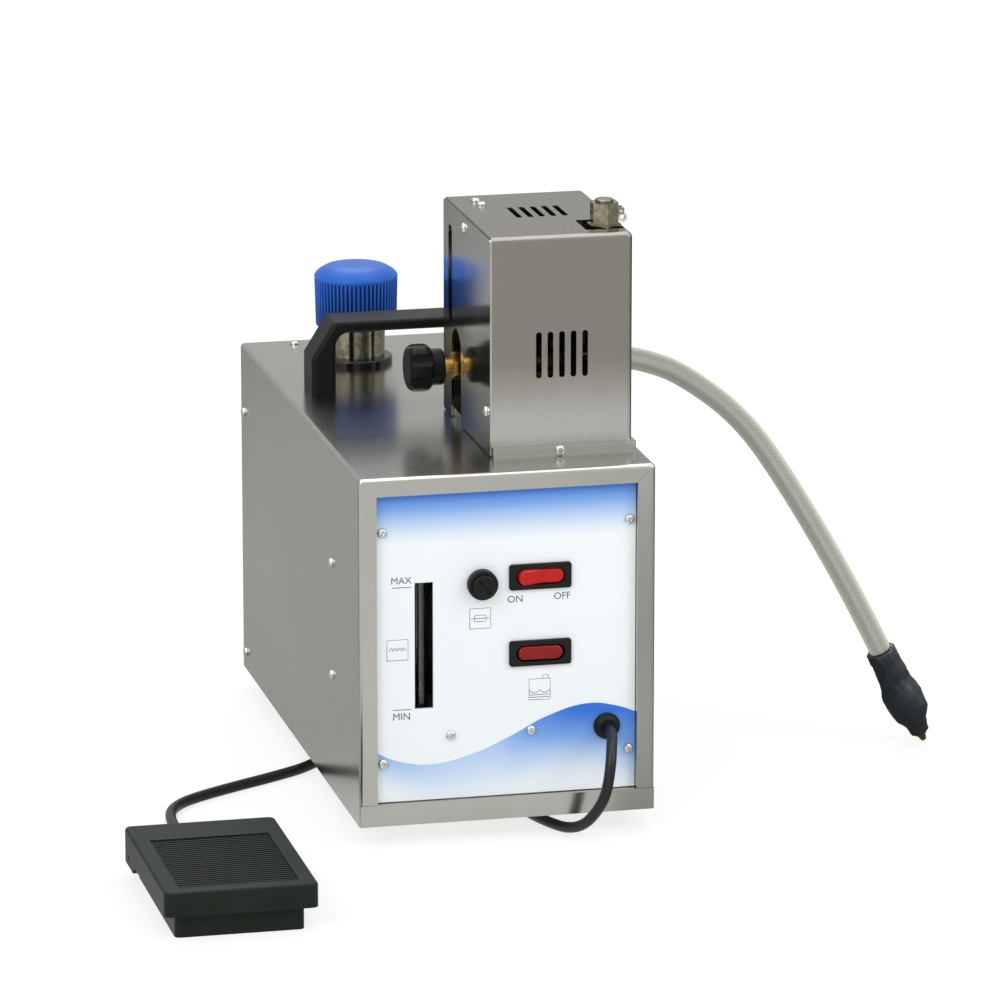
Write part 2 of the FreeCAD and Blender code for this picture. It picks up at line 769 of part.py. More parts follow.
def switch_rocker():
    """A shallow V seen from above, standing out at its left end, on a pivot across it."""
    pivot_y = PANEL_BACK + ROCKER_PIVOT_IN
    half = ROCKER_W / 2
    outline = [(-half, -ROCKER_END), (0, -ROCKER_MID), (half, -ROCKER_END), (half, 0),
               (ROCKER_ROOT, ROCKER_ROOT), (-ROCKER_ROOT, ROCKER_ROOT), (-half, 0)]
    low = SWITCH_Z - ROCKER_H / 2
    body = prism([(SWITCH_X + x, pivot_y + y, low) for x, y in outline], V(0, 0, ROCKER_H))
    face = slot((SWITCH_X, pivot_y, SWITCH_Z), X_AXIS, ROCKER_W, ROCKER_H, Y_AXIS, 30)
    body = body.common(face)
    body.rotate(V(SWITCH_X, pivot_y, SWITCH_Z), Z_AXIS, ROCKER_TILT)
    return body


def rocker_pivot(z):
    y = PANEL_BACK + ROCKER_PIVOT_IN
    return rod((SWITCH_X, y, z - BEZEL_BODY_H / 2), (SWITCH_X, y, z + BEZEL_BODY_H / 2), 1.0)


def switch_bezel():
    return joined([bezel(SWITCH_Z), rocker_pivot(SWITCH_Z)])


def bored_rocker():
    y = PANEL_BACK + ROCKER_PIVOT_IN
    bore = rod((SWITCH_X, y, SWITCH_Z - ROCKER_H), (SWITCH_X, y, SWITCH_Z + ROCKER_H), 1.05)
    return switch_rocker().cut(bore)


def lamp_lens():
    front = PANEL_BACK - BEZEL_T - 1.0
    back = PANEL_BACK + BEZEL_BODY_D - 8
    lens = slot((SWITCH_X, (front + back) / 2, LAMP_Z), X_AXIS, BEZEL_MOUTH_W - FIT,
                BEZEL_MOUTH_H - FIT, Y_AXIS, back - front)
    rim = [e for e in lens.Edges if abs(e.CenterOfMass.y - front) < 1e-6]
    return lens.makeFillet(0.8, rim)


def fuse_holder():
    front = PANEL_BACK - FUSE_COLLAR_T
    collar = rod((FUSE_X, front, FUSE_Z), (FUSE_X, PANEL_BACK, FUSE_Z), FUSE_COLLAR_R)
    rim = [e for e in collar.Edges if isinstance(e.Curve, Part.Circle)
           and e.CenterOfMass.y < front + 0.5]
    collar = collar.makeFillet(1.2, rim)
    back = PANEL_BACK + FUSE_BARREL_D
    barrel = rod((FUSE_X, PANEL_BACK - 0.5, FUSE_Z), (FUSE_X, back, FUSE_Z), FUSE_BARREL_R)
    nut = ring((FUSE_X, SEAT_Y, FUSE_Z), (FUSE_X, SEAT_Y + 4, FUSE_Z), 8.5, FUSE_BARREL_R - 0.5)
    tag = box(FUSE_X - 2, FUSE_X + 2, back - 1, back + 6, FUSE_Z - 0.4, FUSE_Z + 0.4)
    whole = joined([collar, barrel, nut, tag])
    mouth = rod((FUSE_X, front - 1, FUSE_Z), (FUSE_X, PANEL_BACK - 1, FUSE_Z), FUSE_CAP_R + 0.15)
    bore = rod((FUSE_X, 0, FUSE_Z), (FUSE_X, back - 3, FUSE_Z), FUSE_BORE_R)
    return without(whole, [mouth, bore])


def fuse_cap():
    front = PANEL_BACK - FUSE_CAP_OUT
    seat = PANEL_BACK - 1.2
    head = rod((FUSE_X, front, FUSE_Z), (FUSE_X, seat, FUSE_Z), FUSE_CAP_R)
    rim = [e for e in head.Edges if isinstance(e.Curve, Part.Circle)
           and e.CenterOfMass.y < front + 0.5]
    head = head.makeFillet(0.8, rim)
    grip = rod((FUSE_X, seat - 0.5, FUSE_Z), (FUSE_X, seat + FUSE_GRIP + 3, FUSE_Z), FUSE_BORE_R - 0.2)
    cap = joined([head, grip])
    groove = box(-FUSE_CAP_R + 1, FUSE_CAP_R - 1, front - 1, front + 1.4, -0.6, 0.6)
    groove.rotate(V(0, 0, 0), Y_AXIS, 50)
    groove.translate(V(FUSE_X, 0, FUSE_Z))
    bore = rod((FUSE_X, seat + 3, FUSE_Z), (FUSE_X, seat + 10, FUSE_Z), FUSE_R + 0.1)
    return without(cap, [groove, bore])


def fuse_link():
    y0 = PANEL_BACK - 1.2 + 3.1
    return rod((FUSE_X, y0, FUSE_Z), (FUSE_X, y0 + FUSE_LEN, FUSE_Z), FUSE_R)


def level_tube():
    x = (SLOT_X0 + SLOT_X1) / 2
    return ring((x, TUBE_Y, TUBE_Z0), (x, TUBE_Y, TUBE_Z1), TUBE_R, TUBE_R - TUBE_WALL)


def level_fittings():
    """A block at each end of the level tube; the lower one is the lug the panel screws hold."""
    x = (SLOT_X0 + SLOT_X1) / 2
    half = (SLOT_X1 - SLOT_X0) / 2 + 2
    deep = TUBE_Y + TUBE_R + 3
    low = TUBE_Z0 - (FITTING_H - FITTING_SEAT)
    lower = box(x - half, x + half, SEAT_Y, deep, low, low + FITTING_H)
    lug = box(x, LUG_SCREW_X[1] + 6, SEAT_Y, SEAT_Y + 3, LUG_SCREW_Z - 5.5, LUG_SCREW_Z + 5.5)
    lower = joined([lower, lug])
    seat = rod((x, TUBE_Y, TUBE_Z0), (x, TUBE_Y, TUBE_Z0 + 30), TUBE_R)
    port = rod((x, TUBE_Y, low - 1), (x, TUBE_Y, TUBE_Z0 + 1), TUBE_R - TUBE_WALL - 1)
    lower = without(lower, [seat, port])
    lower = without(lower, [screw_hole((s, SEAT_Y, LUG_SCREW_Z), (0, 1, 0)) for s in LUG_SCREW_X])
    top = TUBE_Z1 + FITTING_H - FITTING_SEAT
    upper = box(x - half, x + half, SEAT_Y, deep, top - FITTING_H, top)
    upper = upper.cut(rod((x, TUBE_Y, TUBE_Z1 - 30), (x, TUBE_Y, TUBE_Z1), TUBE_R))
    upper = upper.cut(rod((x, TUBE_Y, TUBE_Z1 - 1), (x, TUBE_Y, top + 1), TUBE_R - TUBE_WALL - 1))
    return [lower, upper]


def cord_grommet():
    out = PANEL_BACK - GROMMET_OUT
    profile = [(0, 0), (0, CORD_R + 1.6), (1.2, GROMMET_R - 1.0), (GROMMET_OUT - 1.4, GROMMET_R),
               (GROMMET_OUT, GROMMET_R), (GROMMET_OUT, GROMMET_NECK_R),
               (GROMMET_OUT + PANEL_T, GROMMET_NECK_R), (GROMMET_OUT + PANEL_T, GROMMET_R),
               (GROMMET_OUT + PANEL_T + GROMMET_IN, GROMMET_R - 1.5),
               (GROMMET_OUT + PANEL_T + GROMMET_IN, 0)]
    return turned(profile, (GROMMET_X, out, GROMMET_Z), (0, 1, 0))


# Handle, filler and tank

def carry_handle():
    half = HANDLE_L / 2
    outline = [(-half, 0), (-half, HANDLE_CHAMFER_Z), (-half + HANDLE_CHAMFER_X, HANDLE_H),
               (half - HANDLE_CHAMFER_X, HANDLE_H), (half, HANDLE_CHAMFER_Z), (half, 0)]
    body = prism([(x, HANDLE_Y0, CASE_H + z) for x, z in outline], V(0, HANDLE_DEPTH, 0))
    body = rounded(body, 4.0, Y_AXIS, lambda m: m.z > CASE_H + 1)
    reach = half - HANDLE_LEG
    grip = box(-reach, reach, HANDLE_Y0 - 1, HANDLE_Y0 + HANDLE_DEPTH + 1, CASE_H - 20,
               CASE_H + HANDLE_H - HANDLE_BAR)
    grip = rounded(grip, HANDLE_INNER_R, Y_AXIS, lambda m: m.z > CASE_H)
    body = body.cut(grip)
    picked = []
    for e in body.Edges:
        m = e.CenterOfMass
        on_face = any(all(abs(v.Y - y) < 1e-6 for v in e.Vertexes)
                      for y in (HANDLE_Y0, HANDLE_Y0 + HANDLE_DEPTH))
        if on_face and m.z > CASE_H + 1e-3:
            picked.append(e)
    body = body.makeFillet(HANDLE_SOFT, picked)
    bores = [rod((x, y, CASE_H - 1), (x, y, CASE_H + HANDLE_BOLT_UP), HANDLE_BOLT_R)
             for x, y in handle_feet()]
    return without(body, bores)


def handle_bolts():
    bolts = []
    for x, y in handle_feet():
        under = CASE_H - SHEET
        head = rod((x, y, under - HANDLE_BOLT_HEAD_H), (x, y, under), HANDLE_BOLT_HEAD_R)
        shank = rod((x, y, under), (x, y, CASE_H + HANDLE_BOLT_UP), HANDLE_BOLT_R)
        bolts.append(joined([head, shank]))
    return bolts


def filler_neck():
    top = CASE_H + NECK_TOP
    shoulder = CASE_H + CAP_BOTTOM - 1.5
    tube = rod((FILL_X, FILL_Y, TANK_TOP), (FILL_X, FILL_Y, shoulder), NECK_R)
    upper = rod((FILL_X, FILL_Y, shoulder - 1), (FILL_X, FILL_Y, top), NECK_THREAD_R)
    flange = rod((FILL_X, FILL_Y, TANK_TOP), (FILL_X, FILL_Y, TANK_TOP + 2.5), GASKET_R)
    threads = []
    for i in range(THREAD_TURNS):
        z = shoulder + 4 + THREAD_PITCH * i
        threads.append(rod((FILL_X, FILL_Y, z), (FILL_X, FILL_Y, z + 1.3), NECK_THREAD_R + THREAD_RISE))
    neck = joined([tube, upper, flange] + threads)
    return neck.cut(rod((FILL_X, FILL_Y, TANK_TOP - 5), (FILL_X, FILL_Y, top + 5), NECK_BORE_R))


def neck_gasket():
    gasket = ring((FILL_X, FILL_Y, CASE_H), (FILL_X, FILL_Y, CASE_H + GASKET_H), GASKET_R, NECK_R)
    rim = [e for e in gasket.Edges if isinstance(e.Curve, Part.Circle)
           and e.CenterOfMass.z > CASE_H + 1 and e.Curve.Radius > GASKET_R - 0.1]
    return gasket.makeFillet(1.2, rim)


def filler_cap():
    """A moulded cap: a skirt of fine ribs under a smooth domed crown."""
    low = CASE_H + CAP_BOTTOM
    points = []
    for i in range(CAP_RIBS):
        for share, rise in ((0.0, 0.0), (0.45, 0.0), (0.5, CAP_RIB), (0.95, CAP_RIB)):
            turn = 2 * math.pi * (i + share) / CAP_RIBS
            radius = CAP_R - CAP_RIB + rise
            points.append((FILL_X + radius * math.cos(turn), FILL_Y + radius * math.sin(turn), low))
    skirt = prism(points, V(0, 0, CAP_SKIRT_TOP - CAP_BOTTOM))
    height = CAP_SKIRT_TOP - CAP_BOTTOM
    taper = Part.makeCone(CAP_R_LOW, CAP_R, height, V(FILL_X, FILL_Y, low))
    skirt = skirt.common(taper)
    seat = CASE_H + CAP_SKIRT_TOP
    crown = rod((FILL_X, FILL_Y, seat), (FILL_X, FILL_Y, CASE_H + CAP_TOP), CAP_R - CAP_RIB)
    rim = [e for e in crown.Edges if isinstance(e.Curve, Part.Circle) and e.CenterOfMass.z > seat + 1]
    crown = crown.makeFillet(CAP_TOP - CAP_SKIRT_TOP - 1.0, rim)
    cap = joined([skirt, crown])
    ceiling = CASE_H + NECK_TOP + SEAL_T + SEAL_GAP
    return cap.cut(rod((FILL_X, FILL_Y, low - 1), (FILL_X, FILL_Y, ceiling), CAP_BORE_R))


def cap_seal():
    z = CASE_H + NECK_TOP
    return rod((FILL_X, FILL_Y, z), (FILL_X, FILL_Y, z + SEAL_T), NECK_THREAD_R + THREAD_RISE)


def water_tank():
    low = SHEET + TANK_LIFT
    outside = box(TANK_X0, TANK_X1, TANK_Y0, TANK_Y1, low, TANK_TOP)
    outside = rounded(outside, TANK_CORNER, Z_AXIS)
    w = TANK_WALL
    inside = box(TANK_X0 + w, TANK_X1 - w, TANK_Y0 + w, TANK_Y1 - w, low + w, TANK_TOP - w)
    inside = rounded(inside, TANK_CORNER - w, Z_AXIS)
    c = TANK_CORNER
    ribs = [box(TANK_X0 + c, TANK_X1 - c, y, y + TANK_RIB, SHEET, low + w / 2)
            for y in (TANK_Y0 + TANK_RIB_IN, TANK_Y1 - TANK_RIB_IN - TANK_RIB)]
    tank = joined([outside] + ribs).cut(inside)
    x = level_pipe_x()
    cuts = [rod((FILL_X, FILL_Y, TANK_TOP - 10), (FILL_X, FILL_Y, TANK_TOP + 5), NECK_BORE_R),
            rod((TANK_X1 - 5, OUTLET_Y, LOW_Z), (TANK_X1 + 5, OUTLET_Y, LOW_Z), FEED_R - 1),
            rod((x, TANK_Y0 - 5, LOW_Z), (x, TANK_Y0 + 5, LOW_Z), FEED_R - 1)]
    return without(tank, cuts)


def level_pipe_x():
    return (SLOT_X0 + SLOT_X1) / 2 - 12


# Tower

def tower_base():
    """The raised rim that the tower stands on, with a screwed ledge in front."""
    top = CASE_H + RIM_H
    outside = box(TOWER_X0 + TOWER_SHEET + FIT, TOWER_X1 + RIM_OUT, TOWER_Y0 - RIM_OUT_FRONT,
                  TOWER_Y1 + RIM_OUT, CASE_H, top)
    outside = rounded(outside, 1.2, Z_AXIS, lambda m: m.x > TOWER_X1)
    hollow = box(TOWER_X0 + TOWER_SHEET + FIT + SHEET, TOWER_X1 + RIM_OUT - SHEET,
                 TOWER_Y0 - RIM_OUT_FRONT + SHEET, TOWER_Y1 + RIM_OUT - SHEET, CASE_H - 1, top - SHEET)
    window = box(TOWER_X0 + RIM_WINDOW, TOWER_X1 - RIM_WINDOW, TOWER_Y0 + RIM_WINDOW,
                 TOWER_Y1 - RIM_WINDOW, CASE_H, top + 1)
    rim = without(outside, [hollow, window])
    wall = TOWER_SHEET + FIT
    up = top + 9
    lips = [box(TOWER_X0 + 14, TOWER_X1 - 14, TOWER_Y0 + wall, TOWER_Y0 + wall + SHEET, top - SHEET, up),
            box(TOWER_X0 + 14, TOWER_X1 - 14, TOWER_Y1 - wall - SHEET, TOWER_Y1 - wall, top - SHEET, up),
            box(TOWER_X1 - wall - SHEET, TOWER_X1 - wall, TOWER_Y0 + 8, TOWER_Y1 - 8, top - SHEET, up)]
    rim = joined([rim] + lips)
    cuts = [screw_hole((rim_screw_x(), TOWER_Y0 - RIM_OUT_FRONT, CASE_H + RIM_SCREW_Z), (0, 1, 0))]
    for up in RIM_LINES:
        z0 = CASE_H + up
        ring = box(TOWER_X0 - 1, TOWER_X1 + RIM_OUT + 1, TOWER_Y0 - RIM_OUT_FRONT - 1,
                   TOWER_Y1 + RIM_OUT + 1, z0, z0 + RIM_LINE_H)
        inner = box(TOWER_X0 - 2, TOWER_X1 + RIM_OUT - RIM_LINE_DEEP,
                    TOWER_Y0 - RIM_OUT_FRONT + RIM_LINE_DEEP, TOWER_Y1 + RIM_OUT - RIM_LINE_DEEP,
                    z0 - 1, z0 + 2)
        cuts.append(ring.cut(inner))
    return without(rim, cuts)


def rim_screw_x():
    return TOWER_X0 + TOWER_W * 0.48


def tower_cover():
    """Front, top, right side and back in one folded cover, with return flanges on the left."""
    bottom = CASE_H + RIM_H
    t = TOWER_SHEET
    left = TOWER_X0 + t

    def bent(shape, radius, top, right):
        shape = rounded(shape, radius, Z_AXIS, lambda m: m.x > right - 1)
        picked = [e for e in shape.Edges if all(abs(v.Z - top) < 1e-6 for v in e.Vertexes)
                  and e.CenterOfMass.x > left + 5]
        return shape.makeFillet(radius * 0.98, picked)

    outside = bent(box(left, TOWER_X1, TOWER_Y0, TOWER_Y1, bottom, TOWER_TOP),
                   TOWER_BEND, TOWER_TOP, TOWER_X1)
    inside = bent(box(left - 5, TOWER_X1 - t, TOWER_Y0 + t, TOWER_Y1 - t, bottom - 5, TOWER_TOP - t),
                  TOWER_BEND - t, TOWER_TOP - t, TOWER_X1 - t)
    cover = outside.cut(inside)
    edge = TOWER_FLANGE
    flanges = [box(left, left + t, TOWER_Y0 + t / 2, TOWER_Y0 + edge, bottom + 12, TOWER_TOP - edge),
               box(left, left + t, TOWER_Y1 - edge, TOWER_Y1 - t / 2, bottom + 12, TOWER_TOP - edge),
               box(left, left + t, TOWER_Y0 + edge + 1, TOWER_Y1 - edge - 1,
                   TOWER_TOP - edge, TOWER_TOP - t / 2)]
    cover = joined([cover] + flanges)
    cuts = []
    for i in range(VENT_COUNT):
        shift = VENT_PITCH * (i - (VENT_COUNT - 1) / 2)
        middle_z = CASE_H + (VENT_Z0 + VENT_Z1) / 2
        cuts.append(slot((VENT_X + shift, TOWER_Y0, middle_z), Z_AXIS, VENT_Z1 - VENT_Z0, VENT_W,
                         Y_AXIS, 6))
        middle_y = (TOP_VENT_Y0 + TOP_VENT_Y1) / 2
        cuts.append(slot((TOP_VENT_X + shift, middle_y, TOWER_TOP), Y_AXIS,
                         TOP_VENT_Y1 - TOP_VENT_Y0, VENT_W, Z_AXIS, 6))
    x0, x1, y0, y1 = RELIEF_CUT
    cuts.append(box(x0, x1, y0, y1, TOWER_TOP - 5, TOWER_TOP + 5))
    cuts.append(rod((TOWER_X1 - 5, VALVE_Y, VALVE_UP), (TOWER_X1 + 5, VALVE_Y, VALVE_UP), WALL_HOLE_R))
    cuts += [screw_hole(p, (1, 0, 0)) for p in side_plate_screws()]
    cuts += [screw_hole(p, (0, 0, 1)) for p in top_plate_screws()]
    return without(cover, cuts)


def side_plate_screws():
    low = CASE_H + SIDE_LOW_SCREW
    return [(TOWER_X0, TOWER_Y0 + 8.5, low),
            (TOWER_X0, TOWER_Y0 + TOWER_D * SIDE_HIGH_SCREW_AT, TOWER_TOP - SIDE_HIGH_SCREW_DOWN),
            (TOWER_X0, TOWER_Y1 - 6.5, low)]


def top_plate_screws():
    return [(12.2, TOWER_Y1 - 17, TOWER_TOP), (13.3, TOWER_Y1 - 27, TOWER_TOP)]


def tower_side():
    """The left plate, with a heat slot and an arch that drops over the valve's nut."""
    x1 = TOWER_X0 + TOWER_SHEET
    plate = box(TOWER_X0, x1, TOWER_Y0, TOWER_Y1, CASE_H + 1, TOWER_TOP - TOWER_SHEET)
    plate = rounded(plate, 2.0, X_AXIS, lambda m: m.z > CASE_H + 20)
    middle_z = CASE_H + (SIDE_SLOT_Z0 + SIDE_SLOT_Z1) / 2
    heat = slot((x1, SIDE_SLOT_Y, middle_z), Z_AXIS, SIDE_SLOT_Z1 - SIDE_SLOT_Z0, SIDE_SLOT_W,
                X_AXIS, 6)
    centre = CASE_H + ARCH_TOP - ARCH_R
    arch = rod((TOWER_X0 - 3, VALVE_Y, centre), (x1 + 3, VALVE_Y, centre), ARCH_R)
    leg = box(TOWER_X0 - 3, x1 + 3, VALVE_Y - ARCH_R, VALVE_Y + ARCH_R, CASE_H - 5, centre)
    cuts = [heat, joined([arch, leg])]
    cuts += [screw_hole(p, (1, 0, 0)) for p in side_plate_screws()]
    return without(plate, cuts)


def tower_screws():
    screws = [screw(p, (1, 0, 0), 5.0) for p in side_plate_screws()]
    screws += [screw(p, (0, 0, -1), 4.0) for p in top_plate_screws()]
    screws.append(screw((rim_screw_x(), TOWER_Y0 - RIM_OUT_FRONT, CASE_H + RIM_SCREW_Z), (0, 1, 0), 4.0))
    return screws


# Steam valve and solenoid

def steam_valve():
    """The brass body: the hand valve on the left, the solenoid seat on the right."""
    run = rod((VALVE_X0, VALVE_Y, VALVE_UP), (VALVE_X1, VALVE_Y, VALVE_UP), VALVE_R)
    neck_z = BOILER_Z1
    riser_x = riser_place()[0]
    riser = rod((riser_x, VALVE_Y, neck_z), (riser_x, VALVE_Y, VALVE_UP), PIPE_R + 2)
    boss = rod((COIL_X, VALVE_Y, VALVE_UP), (COIL_X, VALVE_Y, VALVE_UP + COIL_UP), CORE_R + 2)
    core_top = VALVE_UP + COIL_UP + COIL_H
    core = rod((COIL_X, VALVE_Y, VALVE_UP), (COIL_X, VALVE_Y, core_top), CORE_R)
    body = joined([run, riser, boss, core])
    spindle = rod((VALVE_X0 - 1, VALVE_Y, VALVE_UP), (SPINDLE_TIP + 1, VALVE_Y, VALVE_UP),
                  SPINDLE_R + SPINDLE_RUN)
    way = rod((SPINDLE_TIP, VALVE_Y, VALVE_UP), (VALVE_X1 + 1, VALVE_Y, VALVE_UP), PORT_R)
    up = rod((riser_x, VALVE_Y, neck_z - 1), (riser_x, VALVE_Y, VALVE_UP), PORT_R)
    core_bore = rod((COIL_X, VALVE_Y, VALVE_UP + 7), (COIL_X, VALVE_Y, core_top - 2), CORE_BORE_R)
    return without(body, [spindle, way, up, core_bore])


def riser_place():
    return (28.0, VALVE_Y)


def packing_nut():
    nut = hexagon((NUT_X0, VALVE_Y, VALVE_UP), (VALVE_X0, VALVE_Y, VALVE_UP), NUT_FLATS)
    limit = turned([(0, 0), (0, NUT_FLATS * 0.5), (1.2, NUT_FLATS * 0.58),
                    (VALVE_X0 - NUT_X0, NUT_FLATS * 0.58), (VALVE_X0 - NUT_X0, 0)],
                   (NUT_X0, VALVE_Y, VALVE_UP), (1, 0, 0))
    nut = nut.common(limit)
    collar = rod((COLLAR_X0, VALVE_Y, VALVE_UP), (NUT_X0 + 1, VALVE_Y, VALVE_UP), COLLAR_R)
    nut = joined([nut, collar])
    return nut.cut(rod((COLLAR_X0 - 1, VALVE_Y, VALVE_UP), (VALVE_X0 + 1, VALVE_Y, VALVE_UP),
                       SPINDLE_R + SPINDLE_RUN))


def valve_spindle():
    end = KNOB_HUB_X0 + COLLAR_X0 - KNOB_GAP - KNOB_HUB_X0 - KNOB_BORE_DEEP
    shaft = rod((end, VALVE_Y, VALVE_UP), (SPINDLE_TIP - 2, VALVE_Y, VALVE_UP), SPINDLE_R)
    tip = Part.makeCone(SPINDLE_R, 1.0, 2, V(SPINDLE_TIP - 2, VALVE_Y, VALVE_UP), X_AXIS)
    return joined([shaft, tip])


def valve_knob():
    hub_end = COLLAR_X0 - KNOB_GAP
    head = rod((KNOB_X0, VALVE_Y, VALVE_UP), (KNOB_HUB_X0, VALVE_Y, VALVE_UP), KNOB_R)
    rims = [e for e in head.Edges if isinstance(e.Curve, Part.Circle)]
    head = head.makeFillet(KNOB_SOFT, rims)
    cuts = []
    for i in range(KNOB_LOBES):
        turn = 2 * math.pi * (i + 0.5) / KNOB_LOBES
        y = VALVE_Y + KNOB_SCALLOP_AT * math.cos(turn)
        z = VALVE_UP + KNOB_SCALLOP_AT * math.sin(turn)
        cuts.append(rod((KNOB_X0 - 1, y, z), (KNOB_HUB_X0 + 1, y, z), KNOB_SCALLOP_R))
    head = without(head, cuts)
    hub = rod((KNOB_HUB_X0 - KNOB_SOFT, VALVE_Y, VALVE_UP), (hub_end, VALVE_Y, VALVE_UP), KNOB_HUB_R)
    rim = [e for e in hub.Edges if isinstance(e.Curve, Part.Circle) and e.CenterOfMass.x > hub_end - 1]
    hub = hub.makeFillet(1.5, rim)
    knob = joined([head, hub])
    return knob.cut(rod((hub_end - KNOB_BORE_DEEP - FIT, VALVE_Y, VALVE_UP),
                        (hub_end + 1, VALVE_Y, VALVE_UP), SPINDLE_R + SPINDLE_RUN))


def solenoid_coil():
    z0 = VALVE_UP + COIL_UP
    half = COIL_W / 2
    coil = box(COIL_X - half, COIL_X + half, VALVE_Y - half, VALVE_Y + half, z0, z0 + COIL_H)
    coil = rounded(coil, 5.0, Z_AXIS)
    tags = [box(COIL_X - half - 7, COIL_X - half + 1, VALVE_Y + s - 0.4, VALVE_Y + s + 0.4,
                z0 + 8, z0 + 14) for s in (-5, 5)]
    coil = joined([coil] + tags)
    return coil.cut(rod((COIL_X, VALVE_Y, z0 - 1), (COIL_X, VALVE_Y, z0 + COIL_H + 1), CORE_R))


def solenoid_plunger():
    z0 = VALVE_UP + 7.2
    return rod((COIL_X, VALVE_Y, z0), (COIL_X, VALVE_Y, z0 + PLUNGER_L), PLUNGER_R)


def hose_fitting():
    nut = hexagon((VALVE_X1, VALVE_Y, VALVE_UP), (VALVE_X1 + HEX_T, VALVE_Y, VALVE_UP), HEX_FLATS)
    neck = rod((VALVE_X1 + HEX_T - 1, VALVE_Y, VALVE_UP), (VALVE_X1 + HEX_T + 4, VALVE_Y, VALVE_UP), 6)
    ferrule = rod((VALVE_X1 + HEX_T + 3, VALVE_Y, VALVE_UP), (FERRULE_END, VALVE_Y, VALVE_UP), FERRULE_R)
    rims = [e for e in ferrule.Edges if isinstance(e.Curve, Part.Circle)]
    ferrule = ferrule.makeFillet(1.2, rims)
    fitting = joined([nut, neck, ferrule])
    return fitting.cut(rod((VALVE_X1 - 1, VALVE_Y, VALVE_UP), (FERRULE_END - 4, VALVE_Y, VALVE_UP), PORT_R))


# Relief valve

def relief_valve():
    """A riser from the boiler, two hexagons, and a forked lug for the test lever."""
    top = CASE_H + RELIEF_TOP
    low_top = CASE_H + RELIEF_LOW_TOP
    low_z = low_top - 12
    start = (BOILER_X + 16, BOILER_Y - 20)
    points = [(start[0], start[1], BOILER_Z1), (start[0], start[1], CASE_H + 12),
              (RELIEF_X, RELIEF_Y, CASE_H + 34), (RELIEF_X, RELIEF_Y, low_z + 1)]
    riser = pipe(points, RELIEF_PIPE_R)
    lower = hexagon((RELIEF_X, RELIEF_Y, low_z), (RELIEF_X, RELIEF_Y, low_top), RELIEF_LOW_FLATS)
    upper = hexagon((RELIEF_X, RELIEF_Y, low_top), (RELIEF_X, RELIEF_Y, top), RELIEF_FLATS)
    side = RELIEF_X + RELIEF_FLATS / 2
    ears = []
    for s in (-1, 1):
        inner = RELIEF_Y + s * (LEVER_T / 2 + 0.1)
        outer = inner + s * EAR_T
        ears.append(box(side - 1, LEVER_X + 1.8, min(inner, outer), max(inner, outer),
                        CASE_H + LEVER_Z - 1.8, CASE_H + LEVER_Z + 1.8))
    body = joined([riser, lower, upper] + ears)
    bore = rod((RELIEF_X, RELIEF_Y, low_top - 4), (RELIEF_X, RELIEF_Y, top + 1), STEM_BORE_R)
    pin_z = CASE_H + LEVER_Z
    pin = rod((LEVER_X, RELIEF_Y - 6, pin_z), (LEVER_X, RELIEF_Y + 6, pin_z), LEVER_PIN_R + 0.05)
    return without(body, [bore, pin])


def relief_stem():
    top = CASE_H + RELIEF_TOP
    stem = rod((RELIEF_X, RELIEF_Y, CASE_H + RELIEF_LOW_TOP - 3.8), (RELIEF_X, RELIEF_Y, top + 0.5), STEM_R)
    cap = rod((RELIEF_X, RELIEF_Y, top + 0.1), (RELIEF_X, RELIEF_Y, top + 0.1 + STEM_CAP_T), STEM_CAP_R)
    rim = [e for e in cap.Edges if isinstance(e.Curve, Part.Circle) and e.CenterOfMass.z > top + 1]
    return joined([stem, cap.makeFillet(0.5, rim)])


def relief_lever():
    z = CASE_H + LEVER_Z
    half = LEVER_T / 2
    pin_half = half + 0.1 + EAR_T
    eye = rod((LEVER_X, RELIEF_Y - half, z), (LEVER_X, RELIEF_Y + half, z), 1.5)
    pin = rod((LEVER_X, RELIEF_Y - pin_half, z), (LEVER_X, RELIEF_Y + pin_half, z), LEVER_PIN_R)
    loop_x = LEVER_X + LOOP_DX
    loop_z = z - LOOP_DZ
    loop = rod((loop_x, RELIEF_Y - half + 0.6, loop_z), (loop_x, RELIEF_Y + half - 0.6, loop_z), LOOP_R)
    arm = box(LEVER_X, LEVER_X + 1.4, RELIEF_Y - half + 0.6, RELIEF_Y + half - 0.6, loop_z, z)
    hole = rod((loop_x, RELIEF_Y - 4, loop_z), (loop_x, RELIEF_Y + 4, loop_z), LOOP_HOLE_R)
    return joined([eye, pin, loop, arm]).cut(hole)


# Boiler and water feed

